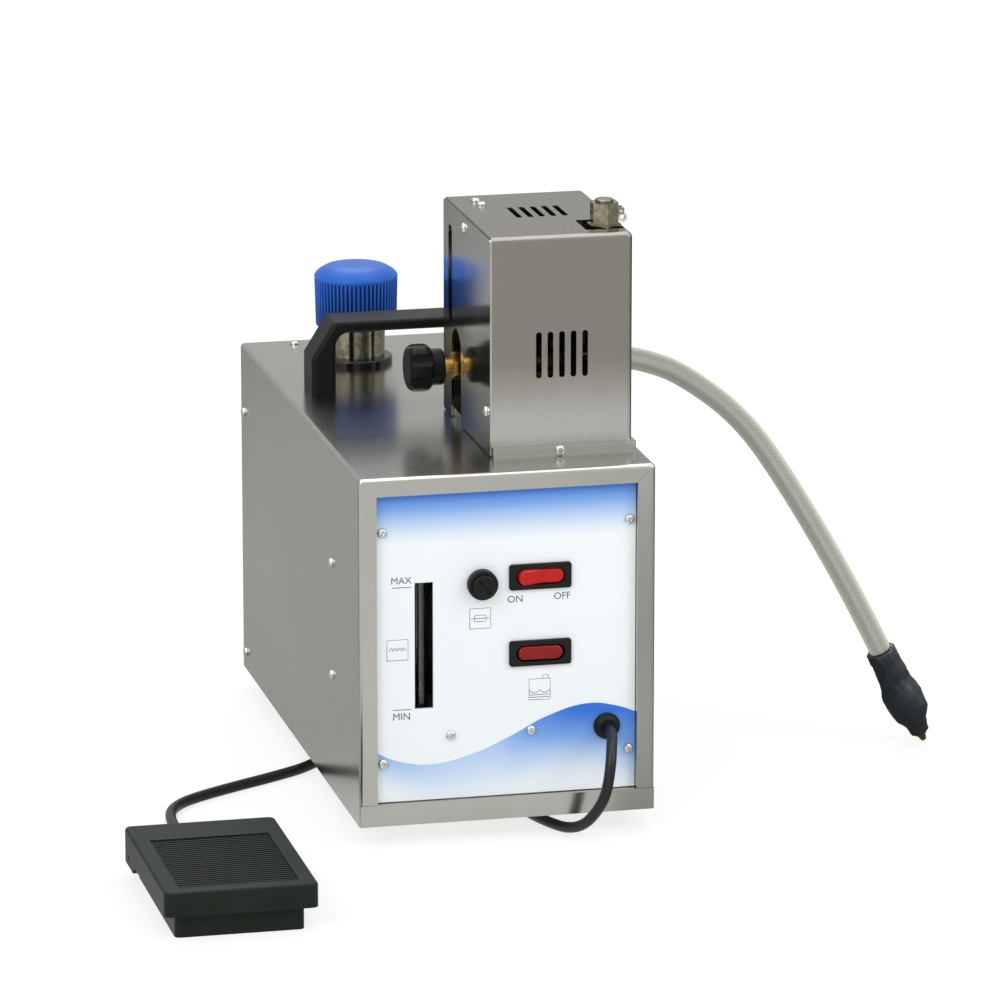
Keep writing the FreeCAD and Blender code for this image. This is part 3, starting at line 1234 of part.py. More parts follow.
def boiler_vessel():
    outside = rod((BOILER_X, BOILER_Y, BOILER_Z0), (BOILER_X, BOILER_Y, BOILER_Z1), BOILER_R)
    rims = [e for e in outside.Edges if isinstance(e.Curve, Part.Circle)]
    outside = outside.makeFillet(BOILER_SOFT, rims)
    w = BOILER_WALL
    inside = rod((BOILER_X, BOILER_Y, BOILER_Z0 + w), (BOILER_X, BOILER_Y, BOILER_Z1 - w), BOILER_R - w)
    rims = [e for e in inside.Edges if isinstance(e.Curve, Part.Circle)]
    inside = inside.makeFillet(BOILER_SOFT - w, rims)
    skirt = ring((BOILER_X, BOILER_Y, SHEET), (BOILER_X, BOILER_Y, BOILER_Z0 + 5), SKIRT_R,
                 SKIRT_R - SKIRT_T)
    stub = rod((BOILER_X, BOILER_Y + BOILER_R - 3, PUMP_Z),
               (BOILER_X, BOILER_Y + BOILER_R + 5, PUMP_Z), FEED_R + 1)
    vessel = joined([outside, skirt, stub]).cut(inside)
    up = BOILER_Z1 + 5
    cuts = [rod((BOILER_X, BOILER_Y, 0), (BOILER_X, BOILER_Y, BOILER_Z0 + 6), element_hole_r())]
    cuts.append(rod((riser_place()[0], VALVE_Y, BOILER_Z1 - 8), (riser_place()[0], VALVE_Y, up), PORT_R))
    cuts.append(rod((BOILER_X, BOILER_Y + BOILER_R - 8, PUMP_Z),
                    (BOILER_X, BOILER_Y + BOILER_R + 9, PUMP_Z), FEED_R - 1))
    return without(vessel, cuts)


def element_hole_r():
    return ELEMENT_SPREAD + ELEMENT_R + 1


def heating_element():
    top = ELEMENT_TOP
    flange_z = BOILER_Z0 - ELEMENT_FLANGE_T
    parts = [rod((BOILER_X, BOILER_Y, flange_z), (BOILER_X, BOILER_Y, BOILER_Z0), ELEMENT_FLANGE_R)]
    for s in (-1, 1):
        x = BOILER_X + s * ELEMENT_SPREAD
        parts.append(rod((x, BOILER_Y, flange_z - 4), (x, BOILER_Y, top), ELEMENT_R))
    bow = Part.makeTorus(ELEMENT_SPREAD, ELEMENT_R, V(BOILER_X, BOILER_Y, top), Y_AXIS)
    upper = box(BOILER_X - 30, BOILER_X + 30, BOILER_Y - 30, BOILER_Y + 30, top, top + 40)
    parts.append(bow.common(upper))
    return joined(parts)


def pressure_switch():
    z = CASE_H + GAUGE_UP
    stem = rod((GAUGE_X, GAUGE_Y, BOILER_Z1), (GAUGE_X, GAUGE_Y, z), PIPE_R)
    cup = rod((GAUGE_X, GAUGE_Y, z), (GAUGE_X, GAUGE_Y, z + GAUGE_T), GAUGE_R)
    rims = [e for e in cup.Edges if isinstance(e.Curve, Part.Circle)]
    cup = cup.makeFillet(1.5, rims)
    tags = [box(GAUGE_X + s - 0.4, GAUGE_X + s + 0.4, GAUGE_Y - 3, GAUGE_Y + 3,
                z + GAUGE_T - 1, z + GAUGE_T + 8) for s in (-5, 5)]
    return joined([stem, cup] + tags)


def feed_pump():
    body = rod((PUMP_X, PUMP_Y0, PUMP_Z), (PUMP_X, PUMP_Y1, PUMP_Z), PUMP_R)
    rims = [e for e in body.Edges if isinstance(e.Curve, Part.Circle)]
    body = body.makeFillet(3.0, rims)
    frame = box(PUMP_X - 13, PUMP_X + 13, PUMP_Y0 + 20, PUMP_Y1 - 20, SHEET, PUMP_Z)
    foot = box(PUMP_X - 22, PUMP_X + 22, PUMP_Y0 + 25, PUMP_Y1 - 25, SHEET, SHEET + 2)
    ends = [rod((PUMP_X, PUMP_Y0 - NOZZLE_L, PUMP_Z), (PUMP_X, PUMP_Y0 + 4, PUMP_Z), FEED_R + 0.5),
            rod((PUMP_X, PUMP_Y1 - 4, PUMP_Z), (PUMP_X, PUMP_Y1 + NOZZLE_L, PUMP_Z), FEED_R + 0.5)]
    return joined([body, frame, foot] + ends)


def feed_pipes():
    """Tank to pump, pump to boiler, and tank to the foot of the level tube."""
    x_tube = (SLOT_X0 + SLOT_X1) / 2
    x_level = level_pipe_x()
    foot = TUBE_Z0 - (FITTING_H - FITTING_SEAT)
    suction = pipe([(TANK_X1, OUTLET_Y, LOW_Z), (PUMP_X, OUTLET_Y, LOW_Z), (PUMP_X, OUTLET_Y, PUMP_Z),
                    (PUMP_X, PUMP_Y1 + NOZZLE_L, PUMP_Z)], FEED_R, FEED_R - 1)
    near = BOILER_Y + BOILER_R + 18
    start = PUMP_Y0 - NOZZLE_L
    feed = pipe([(PUMP_X, start, PUMP_Z), (PUMP_X, near + FEED_TURN * (start - near), PUMP_Z),
                 (BOILER_X, near, PUMP_Z),
                 (BOILER_X, BOILER_Y + BOILER_R + 5, PUMP_Z)], FEED_R, FEED_R - 1)
    level = pipe([(x_level, TANK_Y0, LOW_Z), (x_level, 40, LOW_Z), (x_tube, TUBE_Y + 12, LOW_Z),
                  (x_tube, TUBE_Y, LOW_Z), (x_tube, TUBE_Y, foot)], FEED_R, FEED_R - 1)
    return [suction, feed, level]


def mains_inlet():
    """A three-pin appliance inlet with its plug recess open to the rear."""
    x, z = INLET_X, INLET_Z
    out = REAR_Y + INLET_OUT
    flange = box(x - INLET_FLANGE_W / 2, x + INLET_FLANGE_W / 2, REAR_Y, out,
                 z - INLET_FLANGE_H / 2, z + INLET_FLANGE_H / 2)
    flange = rounded(flange, 2.5, Y_AXIS)
    body = box(x - INLET_W / 2 + FIT, x + INLET_W / 2 - FIT, REAR_Y - INLET_IN, REAR_Y + 0.5,
               z - INLET_H / 2 + FIT, z + INLET_H / 2 - FIT)
    socket = box(x - SOCKET_W / 2, x + SOCKET_W / 2, out - SOCKET_D, out + 5,
                 z - SOCKET_H / 2, z + SOCKET_H / 2)
    socket = rounded(socket, 4.0, Y_AXIS, lambda m: m.z > z)
    whole = joined([flange, body]).cut(socket)
    pins = [box(x + s * PIN_STEP - PIN_T / 2, x + s * PIN_STEP + PIN_T / 2, out - SOCKET_D - 0.5,
                out - 3, z - PIN_W / 2 + (2.5 if s == 0 else -1.5), z + PIN_W / 2 + (2.5 if s == 0 else -1.5))
            for s in (-1, 0, 1)]
    return joined([whole] + pins)


# Foot pedal

def pedal_plate():
    """The tread: a ridged plate with a skirt round it, deeper at the hinge end."""
    top = FLOOR + PEDAL_H
    low = top - SKIRT_REAR
    ear = PEDAL_Y1 - EAR_L
    side = [(PEDAL_Y0, top - SKIRT_FRONT), (PEDAL_Y0, top), (PEDAL_Y1, top), (PEDAL_Y1, low),
            (ear + EAR_RISE, low), (ear, top - SKIRT_FRONT - EAR_STEP)]
    body = prism([(PEDAL_X0, y, z) for y, z in side], V(PEDAL_W, 0, 0))
    body = rounded(body, 4.0, Z_AXIS)
    upper = [e for e in body.Edges if all(abs(v.Z - top) < 1e-6 for v in e.Vertexes)]
    body = body.makeFillet(1.6, upper)
    w = PLATE_WALL
    hollow = box(PEDAL_X0 + w, PEDAL_X1 - w, PEDAL_Y0 + w, PEDAL_Y1 - w, FLOOR - 10, top - PLATE_T)
    body = body.cut(hollow)
    m = RIDGE_MARGIN
    rear = PEDAL_Y1 - RIDGE_FROM_REAR
    tread = box(PEDAL_X0 + m, PEDAL_X1 - m, PEDAL_Y0 + m, rear, top - TREAD_DEEP, top + 1)
    body = body.cut(tread)
    pitch = (rear - PEDAL_Y0 - m) / RIDGE_COUNT
    grooves = []
    for i in range(RIDGE_COUNT):
        y = PEDAL_Y0 + m + pitch * (i + 0.25)
        grooves.append(box(PEDAL_X0 + m, PEDAL_X1 - m, y, y + pitch / 2,
                           top - TREAD_DEEP - RIDGE_DEEP, top))
    body = body.cut(Part.makeCompound(grooves))
    boss_z = FLOOR + BASE_FLOOR + MICRO_H + BUTTON_UP + BUTTON_GAP
    boss = rod((PEDAL_MID, PIN_Y - BUTTON_AT, boss_z), (PEDAL_MID, PIN_Y - BUTTON_AT, top - PLATE_T + 0.5), 4)
    post = rod((PEDAL_MID, PIN_Y - SPRING_AT, top - PLATE_T - 5),
               (PEDAL_MID, PIN_Y - SPRING_AT, top - PLATE_T + 0.5), SPRING_R - WIRE_R - 1)
    body = joined([body, boss, post])
    hole = rod((PEDAL_X0 - 1, PIN_Y, PIN_Z), (PEDAL_X1 + 1, PIN_Y, PIN_Z), PEDAL_PIN_R + PIN_RUN)
    room = GLAND_R + 1.5
    gland_z = FLOOR + GLAND_UP
    notch = joined([box(PEDAL_MID - room, PEDAL_MID + room, PEDAL_Y1 - w - 1, PEDAL_Y1 + 1, FLOOR, gland_z),
                    rod((PEDAL_MID, PEDAL_Y1 - w - 1, gland_z), (PEDAL_MID, PEDAL_Y1 + 1, gland_z), room)])
    return without(body, [hole, notch])


def pedal_base():
    inset = BASE_INSET
    x0, x1 = PEDAL_X0 + inset, PEDAL_X1 - inset
    y0, y1 = PEDAL_Y0 + inset, PEDAL_Y1 - inset
    body = box(x0, x1, y0, y1, FLOOR, FLOOR + BASE_H)
    body = rounded(body, 3.0, Z_AXIS)
    w = BASE_WALL
    body = body.cut(box(x0 + w, x1 - w, y0 + w, y1 - w, FLOOR + BASE_FLOOR, FLOOR + BASE_H + 5))
    post = rod((PEDAL_MID, PIN_Y - SPRING_AT, FLOOR + 1), (PEDAL_MID, PIN_Y - SPRING_AT, FLOOR + 7),
               SPRING_R - WIRE_R - 1)
    body = joined([body, post])
    pin = rod((PEDAL_X0 - 1, PIN_Y, PIN_Z), (PEDAL_X1 + 1, PIN_Y, PIN_Z), PEDAL_PIN_R)
    gland_z = FLOOR + GLAND_UP
    exit_hole = rod((PEDAL_MID, y1 - 8, gland_z), (PEDAL_MID, y1 + 8, gland_z), GLAND_R - 1)
    return without(body, [pin, exit_hole])


def pedal_pin():
    return rod((PEDAL_X0 + 0.3, PIN_Y, PIN_Z), (PEDAL_X1 - 0.3, PIN_Y, PIN_Z), PEDAL_PIN_R)


def pedal_switch():
    y = PIN_Y - BUTTON_AT
    z0 = FLOOR + BASE_FLOOR
    body = box(PEDAL_MID - MICRO_W / 2, PEDAL_MID + MICRO_W / 2, y - MICRO_L / 2, y + MICRO_L / 2,
               z0, z0 + MICRO_H)
    body = rounded(body, 1.0, Z_AXIS)
    return body.cut(rod((PEDAL_MID, y, z0 + 3), (PEDAL_MID, y, z0 + MICRO_H + 1), BUTTON_R + 0.1))


def pedal_button():
    y = PIN_Y - BUTTON_AT
    top = FLOOR + BASE_FLOOR + MICRO_H + BUTTON_UP
    return rod((PEDAL_MID, y, top - 8), (PEDAL_MID, y, top), BUTTON_R)


def pedal_spring():
    """A compression coil between the base and the tread."""
    low = FLOOR + BASE_FLOOR + WIRE_R + SPRING_GAP
    high = FLOOR + PEDAL_H - PLATE_T - WIRE_R - SPRING_GAP
    pitch = (high - low) / SPRING_TURNS
    helix = Part.makeHelix(pitch, high - low, SPRING_R)
    section = Part.Wire(Part.makeCircle(WIRE_R, V(SPRING_R, 0, 0), V(0, 1, 0)))
    coil = Part.Wire(helix.Edges).makePipeShell([section], True, True)
    coil.translate(V(PEDAL_MID, PIN_Y - SPRING_AT, low))
    return coil


def pedal_gland():
    y1 = PEDAL_Y1 - BASE_INSET
    profile = [(-BASE_WALL - 3, 0), (-BASE_WALL - 3, GLAND_R), (-BASE_WALL, GLAND_R),
               (-BASE_WALL, GLAND_R - 1), (0, GLAND_R - 1), (0, GLAND_R), (3, GLAND_R)]
    for i in range(3):
        s = 4 + i * (GLAND_L - 4) / 3
        share = i / 3
        radius = GLAND_R - 0.4 - (GLAND_R - 0.4 - GLAND_TIP_R) * share
        profile += [(s, radius), (s + (GLAND_L - 4) / 3 - 1, radius - 0.3)]
    profile += [(GLAND_L, GLAND_TIP_R), (GLAND_L, 0)]
    return turned(profile, (PEDAL_MID, y1, FLOOR + GLAND_UP), (0, 1, 0))


def gland_end():
    return (PEDAL_MID, PEDAL_Y1 - BASE_INSET + GLAND_L, FLOOR + GLAND_UP)


# Hose and cords

def hose_route():
    z = VALVE_UP
    return [(FERRULE_END, VALVE_Y, z), (91.9, VALVE_Y, z), (104.7, VALVE_Y + 0.1, z - 2.3),
            (126.7, VALVE_Y + 1, z - 10.9), (162.6, VALVE_Y + 3.5, z - 38.8),
            (190.2, VALVE_Y + 5.8, z - 78.3), (229.2, VALVE_Y + 9.5, z - 144.5),
            (248, VALVE_Y + 11.5, z - 182.4)]


def grip_axis():
    """Where the grip starts and which way it points: down to the bench, in line with the hose."""
    route = hose_route()
    start = V(*route[-1])
    way = start - V(*route[-2])
    way.normalize()
    drop = start.z - FLOOR - TIP_GAP - TIP_R * math.hypot(way.x, way.y)
    return start, way, drop / -way.z


def hose_sleeve():
    start, way, length = grip_axis()
    profile = [(0, 0), (0, GRIP_R), (GRIP_L, GRIP_R), (GRIP_L + 3, BULB_R - 0.6), (BULB_AT, BULB_R),
               (BULB_AT + 5, BULB_R - 0.6), (BULB_AT + 8, BULB_R - 2.2), (BULB_END, NOZZLE_R),
               (BULB_END, 0)]
    return turned(profile, tuple(start), tuple(way))


def nozzle_tip():
    start, way, length = grip_axis()
    profile = [(BULB_END, TIP_BORE_R), (BULB_END, NOZZLE_R - 1.6), (BULB_END + 1.2, NOZZLE_R - 1.8),
               (BULB_END + 1.6, TIP_R + 1.2), (length, TIP_R), (length, TIP_BORE_R)]
    return turned(profile, tuple(start), tuple(way))


def cord_floor():
    return FLOOR + CORD_R


def front_route():
    z = cord_floor()
    side = COIL_TURN_R + 2 * CORD_R
    return [(GROMMET_X, PANEL_BACK - GROMMET_OUT, GROMMET_Z), (GROMMET_X, -9.7, GROMMET_Z),
            (53.3, -20.4, 43.4), (51.1, -27, 33.3), (48.9, -26.7, 18.3), (45.5, -20.5, 7.2),
            (40.4, -11.6, -3.2), (34, 0.5, z + 0.6), (27, 15.5, z + 0.1), (19.8, 37.5, z),
            (16.7, 64.2, z), (18.5, 100, z), (25, 143, z), (31, 193, z), (36.5, 247, z),
            (side - 0.4, 303, z), (side + 0.2, 350, z), (side, COIL_Y - 18, z)]


def rear_route():
    z = cord_floor()
    upper = z + 2 * CORD_R * (COIL_LAYERS - 1)
    side = -COIL_TURN_R - 2 * CORD_R
    end = gland_end()
    return [(side, COIL_Y - 18, upper), (side, 356, upper - 0.3), (side, 334, z + 2),
            (side, 303, z), (side - 1, 262, z), (side - 6, 222, z), (-56, 184, z), (-79, 152, z),
            (-103, 136, z), (-128, 122, z), (-149, 109, z), (-163, 98, z), (-172, 84, z),
            (-175, 66, z), (-175, 46, z), (end[0] - 0.2, 30, z + 0.6), (end[0], 14.6, z + 3.8), end]


def cord_coil():
    """The outer shape of the turns of spare cord, laid flat behind the case."""
    thick = 2 * CORD_R
    inner = COIL_TURN_R - COIL_ROWS / 2 * thick
    outer = COIL_TURN_R + COIL_ROWS / 2 * thick
    hank = ring((0, COIL_Y, FLOOR), (0, COIL_Y, FLOOR + COIL_LAYERS * thick), outer, inner)
    rims = [e for e in hank.Edges if isinstance(e.Curve, Part.Circle)]
    return hank.makeFillet(CORD_R * 0.95, rims)


def save(name, shape):
    solids = shape if isinstance(shape, list) else [shape]
    solids = [s for one in solids for s in one.Solids]
    whole = solids[0] if len(solids) == 1 else Part.makeCompound(solids)
    whole.translate(SHIFT)
    if not whole.isValid():
        print("not valid:", name)
    whole.exportStep("parts/" + name + ".step")
    print(name, len(solids), "solid(s)", round(whole.Volume / 1000, 2), "cm3")


NODES = {
    "case_shell": case_shell,
    "base_tray": base_tray,
    "rubber_feet": rubber_feet,
    "rear_panel": rear_panel,
    "case_screws": case_screws,
    "side_bracket": side_bracket,
    "terminal_block": terminal_block,
    "front_panel": front_panel,
    "panel_screws": panel_screws,
    "switch_bezel": switch_bezel,
    "switch_rocker": bored_rocker,
    "lamp_bezel": lambda: bezel(LAMP_Z),
    "lamp_lens": lamp_lens,
    "fuse_holder": fuse_holder,
    "fuse_cap": fuse_cap,
    "fuse_link": fuse_link,
    "level_tube": level_tube,
    "level_fittings": level_fittings,
    "cord_grommet": cord_grommet,
    "carry_handle": carry_handle,
    "handle_bolts": handle_bolts,
    "filler_neck": filler_neck,
    "neck_gasket": neck_gasket,
    "filler_cap": filler_cap,
    "cap_seal": cap_seal,
    "water_tank": water_tank,
    "tower_base": tower_base,
    "tower_cover": tower_cover,
    "tower_side": tower_side,
    "tower_screws": tower_screws,
    "steam_valve": steam_valve,
    "packing_nut": packing_nut,
    "valve_spindle": valve_spindle,
    "valve_knob": valve_knob,
    "solenoid_coil": solenoid_coil,
    "solenoid_plunger": solenoid_plunger,
    "hose_fitting": hose_fitting,
    "relief_valve": relief_valve,
    "relief_stem": relief_stem,
    "relief_lever": relief_lever,
    "boiler_vessel": boiler_vessel,
    "heating_element": heating_element,
    "pressure_switch": pressure_switch,
    "feed_pump": feed_pump,
    "feed_pipes": feed_pipes,
    "mains_inlet": mains_inlet,
    "pedal_plate": pedal_plate,
    "pedal_base": pedal_base,
    "pedal_pin": pedal_pin,
    "pedal_switch": pedal_switch,
    "pedal_button": pedal_button,
    "pedal_spring": pedal_spring,
    "pedal_gland": pedal_gland,
    "steam_hose": lambda: cord_tube("steam_hose", hose_route(), HOSE_R),
    "hose_sleeve": hose_sleeve,
    "nozzle_tip": nozzle_tip,
    "cord_front": lambda: cord_tube("cord_front", front_route(), CORD_R),
    "cord_coil": cord_coil,
    "cord_rear": lambda: cord_tube("cord_rear", rear_route(), CORD_R),
}

os.makedirs("parts", exist_ok=True)
for node, make in NODES.items():
    save(node, make())
print("origin shift", [round(v, 3) for v in SHIFT])
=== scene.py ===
# %% [markdown]
# # A bench steam cleaner for jewelry
#
# The real object is a folded steel case with a printed front, a small boiler under a vented
# tower, a water tank with a blue screw cap, a steam hose and a foot pedal on a cord. The solids
# come from the construction program and already have the right sizes, so this lesson dresses
# them: it adds the camera, the cords, the small moulded and turned pieces and every finish.

# %% Loading the fixed frame
import math

import bpy
from mathutils import Matrix, Vector


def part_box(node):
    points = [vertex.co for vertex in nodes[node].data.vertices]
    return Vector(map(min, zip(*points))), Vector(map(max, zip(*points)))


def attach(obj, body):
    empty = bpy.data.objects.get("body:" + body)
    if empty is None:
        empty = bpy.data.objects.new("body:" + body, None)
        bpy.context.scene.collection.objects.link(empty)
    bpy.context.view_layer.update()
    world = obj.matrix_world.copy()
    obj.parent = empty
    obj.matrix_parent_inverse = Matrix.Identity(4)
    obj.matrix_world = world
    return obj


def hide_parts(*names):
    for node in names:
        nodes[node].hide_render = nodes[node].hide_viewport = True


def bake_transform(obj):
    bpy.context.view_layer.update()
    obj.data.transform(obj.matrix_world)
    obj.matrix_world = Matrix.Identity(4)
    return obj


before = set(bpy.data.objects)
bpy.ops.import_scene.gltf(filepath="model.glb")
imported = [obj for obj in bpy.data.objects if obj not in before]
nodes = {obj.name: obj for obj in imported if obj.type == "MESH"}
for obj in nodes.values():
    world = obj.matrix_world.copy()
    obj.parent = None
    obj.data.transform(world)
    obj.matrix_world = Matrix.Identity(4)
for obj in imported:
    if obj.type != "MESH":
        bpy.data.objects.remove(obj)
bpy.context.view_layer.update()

# %% [markdown]
# ## Places in millimetres
#
# Blender works in metres and the frame's origin lies under the middle of the whole object. Sizes
# of such a machine are easier to read in millimetres, counted from the middle of the case's
# front edge at its underside. The front panel's low corner is known in both systems, so it
# gives the way from one to the other, whatever the frame's origin is.

# %% From case millimetres to metres in the frame
MM = 0.001
PANEL_LOW_CORNER = Vector((-72.2, 4.0, 12.5))
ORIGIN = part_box("front_panel")[0] / MM - PANEL_LOW_CORNER


def at(x, y, z):
    """A place in the case's millimetres, in metres in the frame."""
    return (Vector((x, y, z)) + ORIGIN) * MM


print("the case's own origin in the frame, mm:", [round(v, 2) for v in ORIGIN])

# %% [markdown]
# ## The camera
#
# The photograph was taken with a long lens from the front, a little to the left and above. A
# long lens keeps the case's edges nearly parallel. The camera's place and angles were worked
# out from the case's corners, whose real places are known, so it is set down by numbers and
# not aimed by eye.

# %% Camera
LENS_MM = 246.33
SENSOR_MM = 36.0
CAMERA_TILT = 75.573
CAMERA_TURN = -12.975

camera_data = bpy.data.cameras.new("camera")
camera_data.lens = LENS_MM
camera_data.sensor_width = SENSOR_MM
camera_data.clip_end = 60.0
camera = bpy.data.objects.new("camera", camera_data)
bpy.context.scene.collection.objects.link(camera)
camera.location = at(-807.5, -3485.6, 1100.0)
camera.rotation_euler = (math.radians(CAMERA_TILT), 0.0, math.radians(CAMERA_TURN))
bpy.context.scene.camera = camera
print("camera at", [round(v, 3) for v in camera.location])

# %% [markdown]
# ## Hose and cord
#
# A hose or cord is one smooth tube on one smooth line. A NURBS curve of order three runs
# inside the corners of its control points, as a springy cord does, and its bevel gives the
# round section. Order and end points are set after the points are there, because before that
# Blender keeps the curve at straight runs.

# %% One cord from its points
def lay_cord(name, places, radius):
    """A round tube along one NURBS spline through the pull of the given places."""
    curve = bpy.data.curves.new(name, "CURVE")
    curve.dimensions = "3D"
    curve.bevel_depth = radius * MM
    curve.bevel_resolution = 7
    curve.resolution_u = 8
    curve.use_fill_caps = True
    spline = curve.splines.new("NURBS")
    spline.points.add(len(places) - 1)
    for point, place in zip(spline.points, places):
        point.co = (*at(*place), 1.0)
    spline.order_u = 3
    spline.use_endpoint_u = True
    piece = bpy.data.objects.new(name, curve)
    bpy.context.scene.collection.objects.link(piece)
    print(name, "has", len(places), "points")
    return piece


# %% [markdown]
# The steam hose leaves the fitting in the tower's right wall level, then its own weight and
# that of its metal end bend it down in one long arc. It is braided silicone and too stiff to
# fall straight.

# %% Steam hose
HOSE_R = 6.25
HOSE_PLACES = [
    (80.0, 118.0, 227.0), (91.9, 118.0, 227.0), (104.7, 118.1, 224.7), (126.7, 119.0, 216.1),
    (162.6, 121.5, 188.2), (190.2, 123.8, 148.7), (229.2, 127.5, 82.5), (248.0, 129.5, 44.6),
]
steam_hose = lay_cord("steam_hose_tube", HOSE_PLACES, HOSE_R)

# %% [markdown]
# The pedal's cord leaves the front through a grommet, drops, turns back under the case between
# its feet and comes out again on the left, where the pedal stands. What the photograph hides
# is the spare length: it lies wound in a flat coil of two layers close behind the case. The
# coil's turns are points of the same spline. Each turn keeps one radius for three quarters of
# its way and steps to the next one in the last quarter, so that turns lie side by side and
# never in each other.

# %% Coil of spare cord
COIL_Y = 394.0
COIL_RADII = (39.0, 33.0, 27.0)
CORD_R = 3.0
BENCH = -12.0
LOW = BENCH + CORD_R
HIGH = LOW + 2 * CORD_R
POINTS_A_TURN = 16
QUARTER = 90.0


def coil_radius(turned):
    """The coil's radius after so many degrees, inwards on the bench and outwards on top."""
    whole = 5.5 * 360.0
    inwards = min(turned, whole - turned)
    lap, rest = divmod(inwards, 360.0)
    lap = min(int(lap), 2)
    step = max(0.0, rest - 270.0) / QUARTER if lap < 2 else 0.0
    inner = COIL_RADII[min(lap + 1, 2)]
    return COIL_RADII[lap] + (inner - COIL_RADII[lap]) * step


def coil_height(turned):
    """The cord climbs to the upper layer just after its third turn on the bench begins to close."""
    share = min(max((turned - 960.0) / 60.0, 0.0), 1.0)
    return LOW + (HIGH - LOW) * share


coil_places = []
swell = 1.0 / math.cos(math.pi / POINTS_A_TURN)
for step in range(int(5.5 * POINTS_A_TURN) + 1):
    turned = step * 360.0 / POINTS_A_TURN
    angle = math.radians(turned)
    reach = coil_radius(turned) * swell
    coil_places.append((reach * math.cos(angle), COIL_Y + reach * math.sin(angle), coil_height(turned)))
print("coil points:", len(coil_places))

# %% Pedal cord
CORD_FRONT = [
    (56.3, 0.0, 48.0), (56.3, -9.7, 48.0), (53.3, -20.4, 43.4), (51.1, -27.0, 33.3),
    (48.9, -26.7, 18.3), (45.5, -20.5, 7.2), (40.4, -11.6, -3.2), (34.0, 0.5, -8.4),
    (27.0, 15.5, -8.9), (19.8, 37.5, LOW), (16.7, 64.2, LOW), (18.5, 100.0, LOW),
    (25.0, 143.0, LOW), (31.0, 193.0, LOW), (36.5, 247.0, LOW), (38.6, 303.0, LOW),
    (39.2, 350.0, LOW), (39.0, 376.0, LOW),
]
CORD_REAR = [
    (-39.0, 376.0, HIGH), (-39.0, 356.0, -3.3), (-39.0, 334.0, -7.0), (-39.0, 303.0, LOW),
    (-40.0, 262.0, LOW), (-45.0, 222.0, LOW), (-56.0, 184.0, LOW), (-79.0, 152.0, LOW),
    (-103.0, 136.0, LOW), (-128.0, 122.0, LOW), (-149.0, 109.0, LOW), (-163.0, 98.0, LOW),
    (-172.0, 84.0, LOW), (-175.0, 66.0, LOW), (-175.0, 46.0, LOW), (-174.1, 30.0, -8.4),
    (-173.9, 14.6, -5.2), (-173.9, -0.5, -4.0),
]
pedal_cord = lay_cord("pedal_cord", CORD_FRONT + coil_places + CORD_REAR, CORD_R)

# %% [markdown]
# ## Tools for making a finish
#
# A colour is easiest to write as the hex code that a picture shows, but a shader works with
# linear light, so one function turns the one into the other. Building a shader is adding nodes,
# setting them and linking them, and one small function does all three.

# %% Colour and node helpers
def srgb(code):
    """A hex colour as it looks on a screen, in the linear numbers that shaders use."""
    shares = [int(code[i:i + 2], 16) / 255 for i in (1, 3, 5)]
    linear = [s / 12.92 if s <= 0.04045 else ((s + 0.055) / 1.055) ** 2.4 for s in shares]
    return (*linear, 1.0)


def add_node(tree, kind, settings=None, values=None, links=None):
    """Adds one node: its own settings, the values on its sockets, and what feeds them."""
    node = tree.nodes.new(kind)
    for name, value in (settings or {}).items():
        setattr(node, name, value)
    for socket, value in (values or {}).items():
        node.inputs[socket].default_value = value
    for socket, source in (links or {}).items():
        tree.links.new(source, node.inputs[socket])
    return node


print("colour and nodes ready")


# %% A new material and its ramps
def start_material(name):
    """An empty material with its node tree."""
    material = bpy.data.materials.new(name)
    material.use_nodes = True
    material.node_tree.nodes.clear()
    return material, material.node_tree


def set_ramp(node, stops):
    """Gives a colour ramp its stops, as (place, hex colour)."""
    ramp = node.color_ramp
    while len(ramp.elements) > len(stops):
        ramp.elements.remove(ramp.elements[-1])
    while len(ramp.elements) < len(stops):
        ramp.elements.new(1.0)
    for element, (place, code) in zip(ramp.elements, stops):
        element.position = place
        element.color = srgb(code)


PER_METRE = 1000.0
print("helpers ready")

# %% [markdown]
# ## Satin stainless sheet
#
# The case is AISI 304 sheet, rolled and given a satin grain, then folded. The grain runs up the
# sides and over the top, so a fine pattern that changes quickly from front to back and slowly
# in the other two directions follows the fold all by itself. The rolled surface is bright
# enough to mirror what stands on it, a little drawn out by the grain. It is a metal: its
# colour is its reflection, warm grey. Real grain is about 0.05 mm; here it is drawn 0.5 mm wide
# so that it shows.

# %% Satin sheet of the case
GRAIN_MM = 0.5
GRAIN_LONG_MM = 80.0

satin_sheet, tree = start_material("satin_stainless_sheet")
place = add_node(tree, "ShaderNodeTexCoord").outputs["Object"]
grain_map = add_node(tree, "ShaderNodeMapping",
                     values={"Scale": (PER_METRE / GRAIN_LONG_MM, PER_METRE / GRAIN_MM,
                                       PER_METRE / GRAIN_LONG_MM)},
                     links={"Vector": place})
grain = add_node(tree, "ShaderNodeTexNoise", values={"Scale": 1.0, "Detail": 3.0, "Roughness": 0.6},
                 links={"Vector": grain_map.outputs[0]})
cloud = add_node(tree, "ShaderNodeTexNoise", values={"Scale": 9.0, "Detail": 2.0, "Roughness": 0.5},
                 links={"Vector": place})
tone = add_node(tree, "ShaderNodeMath", {"operation": "MULTIPLY_ADD"},
                {1: 0.35, 2: 0.32}, {0: grain.outputs["Fac"]})
tone = add_node(tree, "ShaderNodeMath", {"operation": "MULTIPLY_ADD"},
                {1: 0.30}, {0: cloud.outputs["Fac"], 2: tone.outputs[0]})
colour = add_node(tree, "ShaderNodeValToRGB", links={"Fac": tone.outputs[0]})
set_ramp(colour, [(0.35, "#a09f96"), (0.65, "#b3b3ac"), (0.95, "#c0c1bb")])
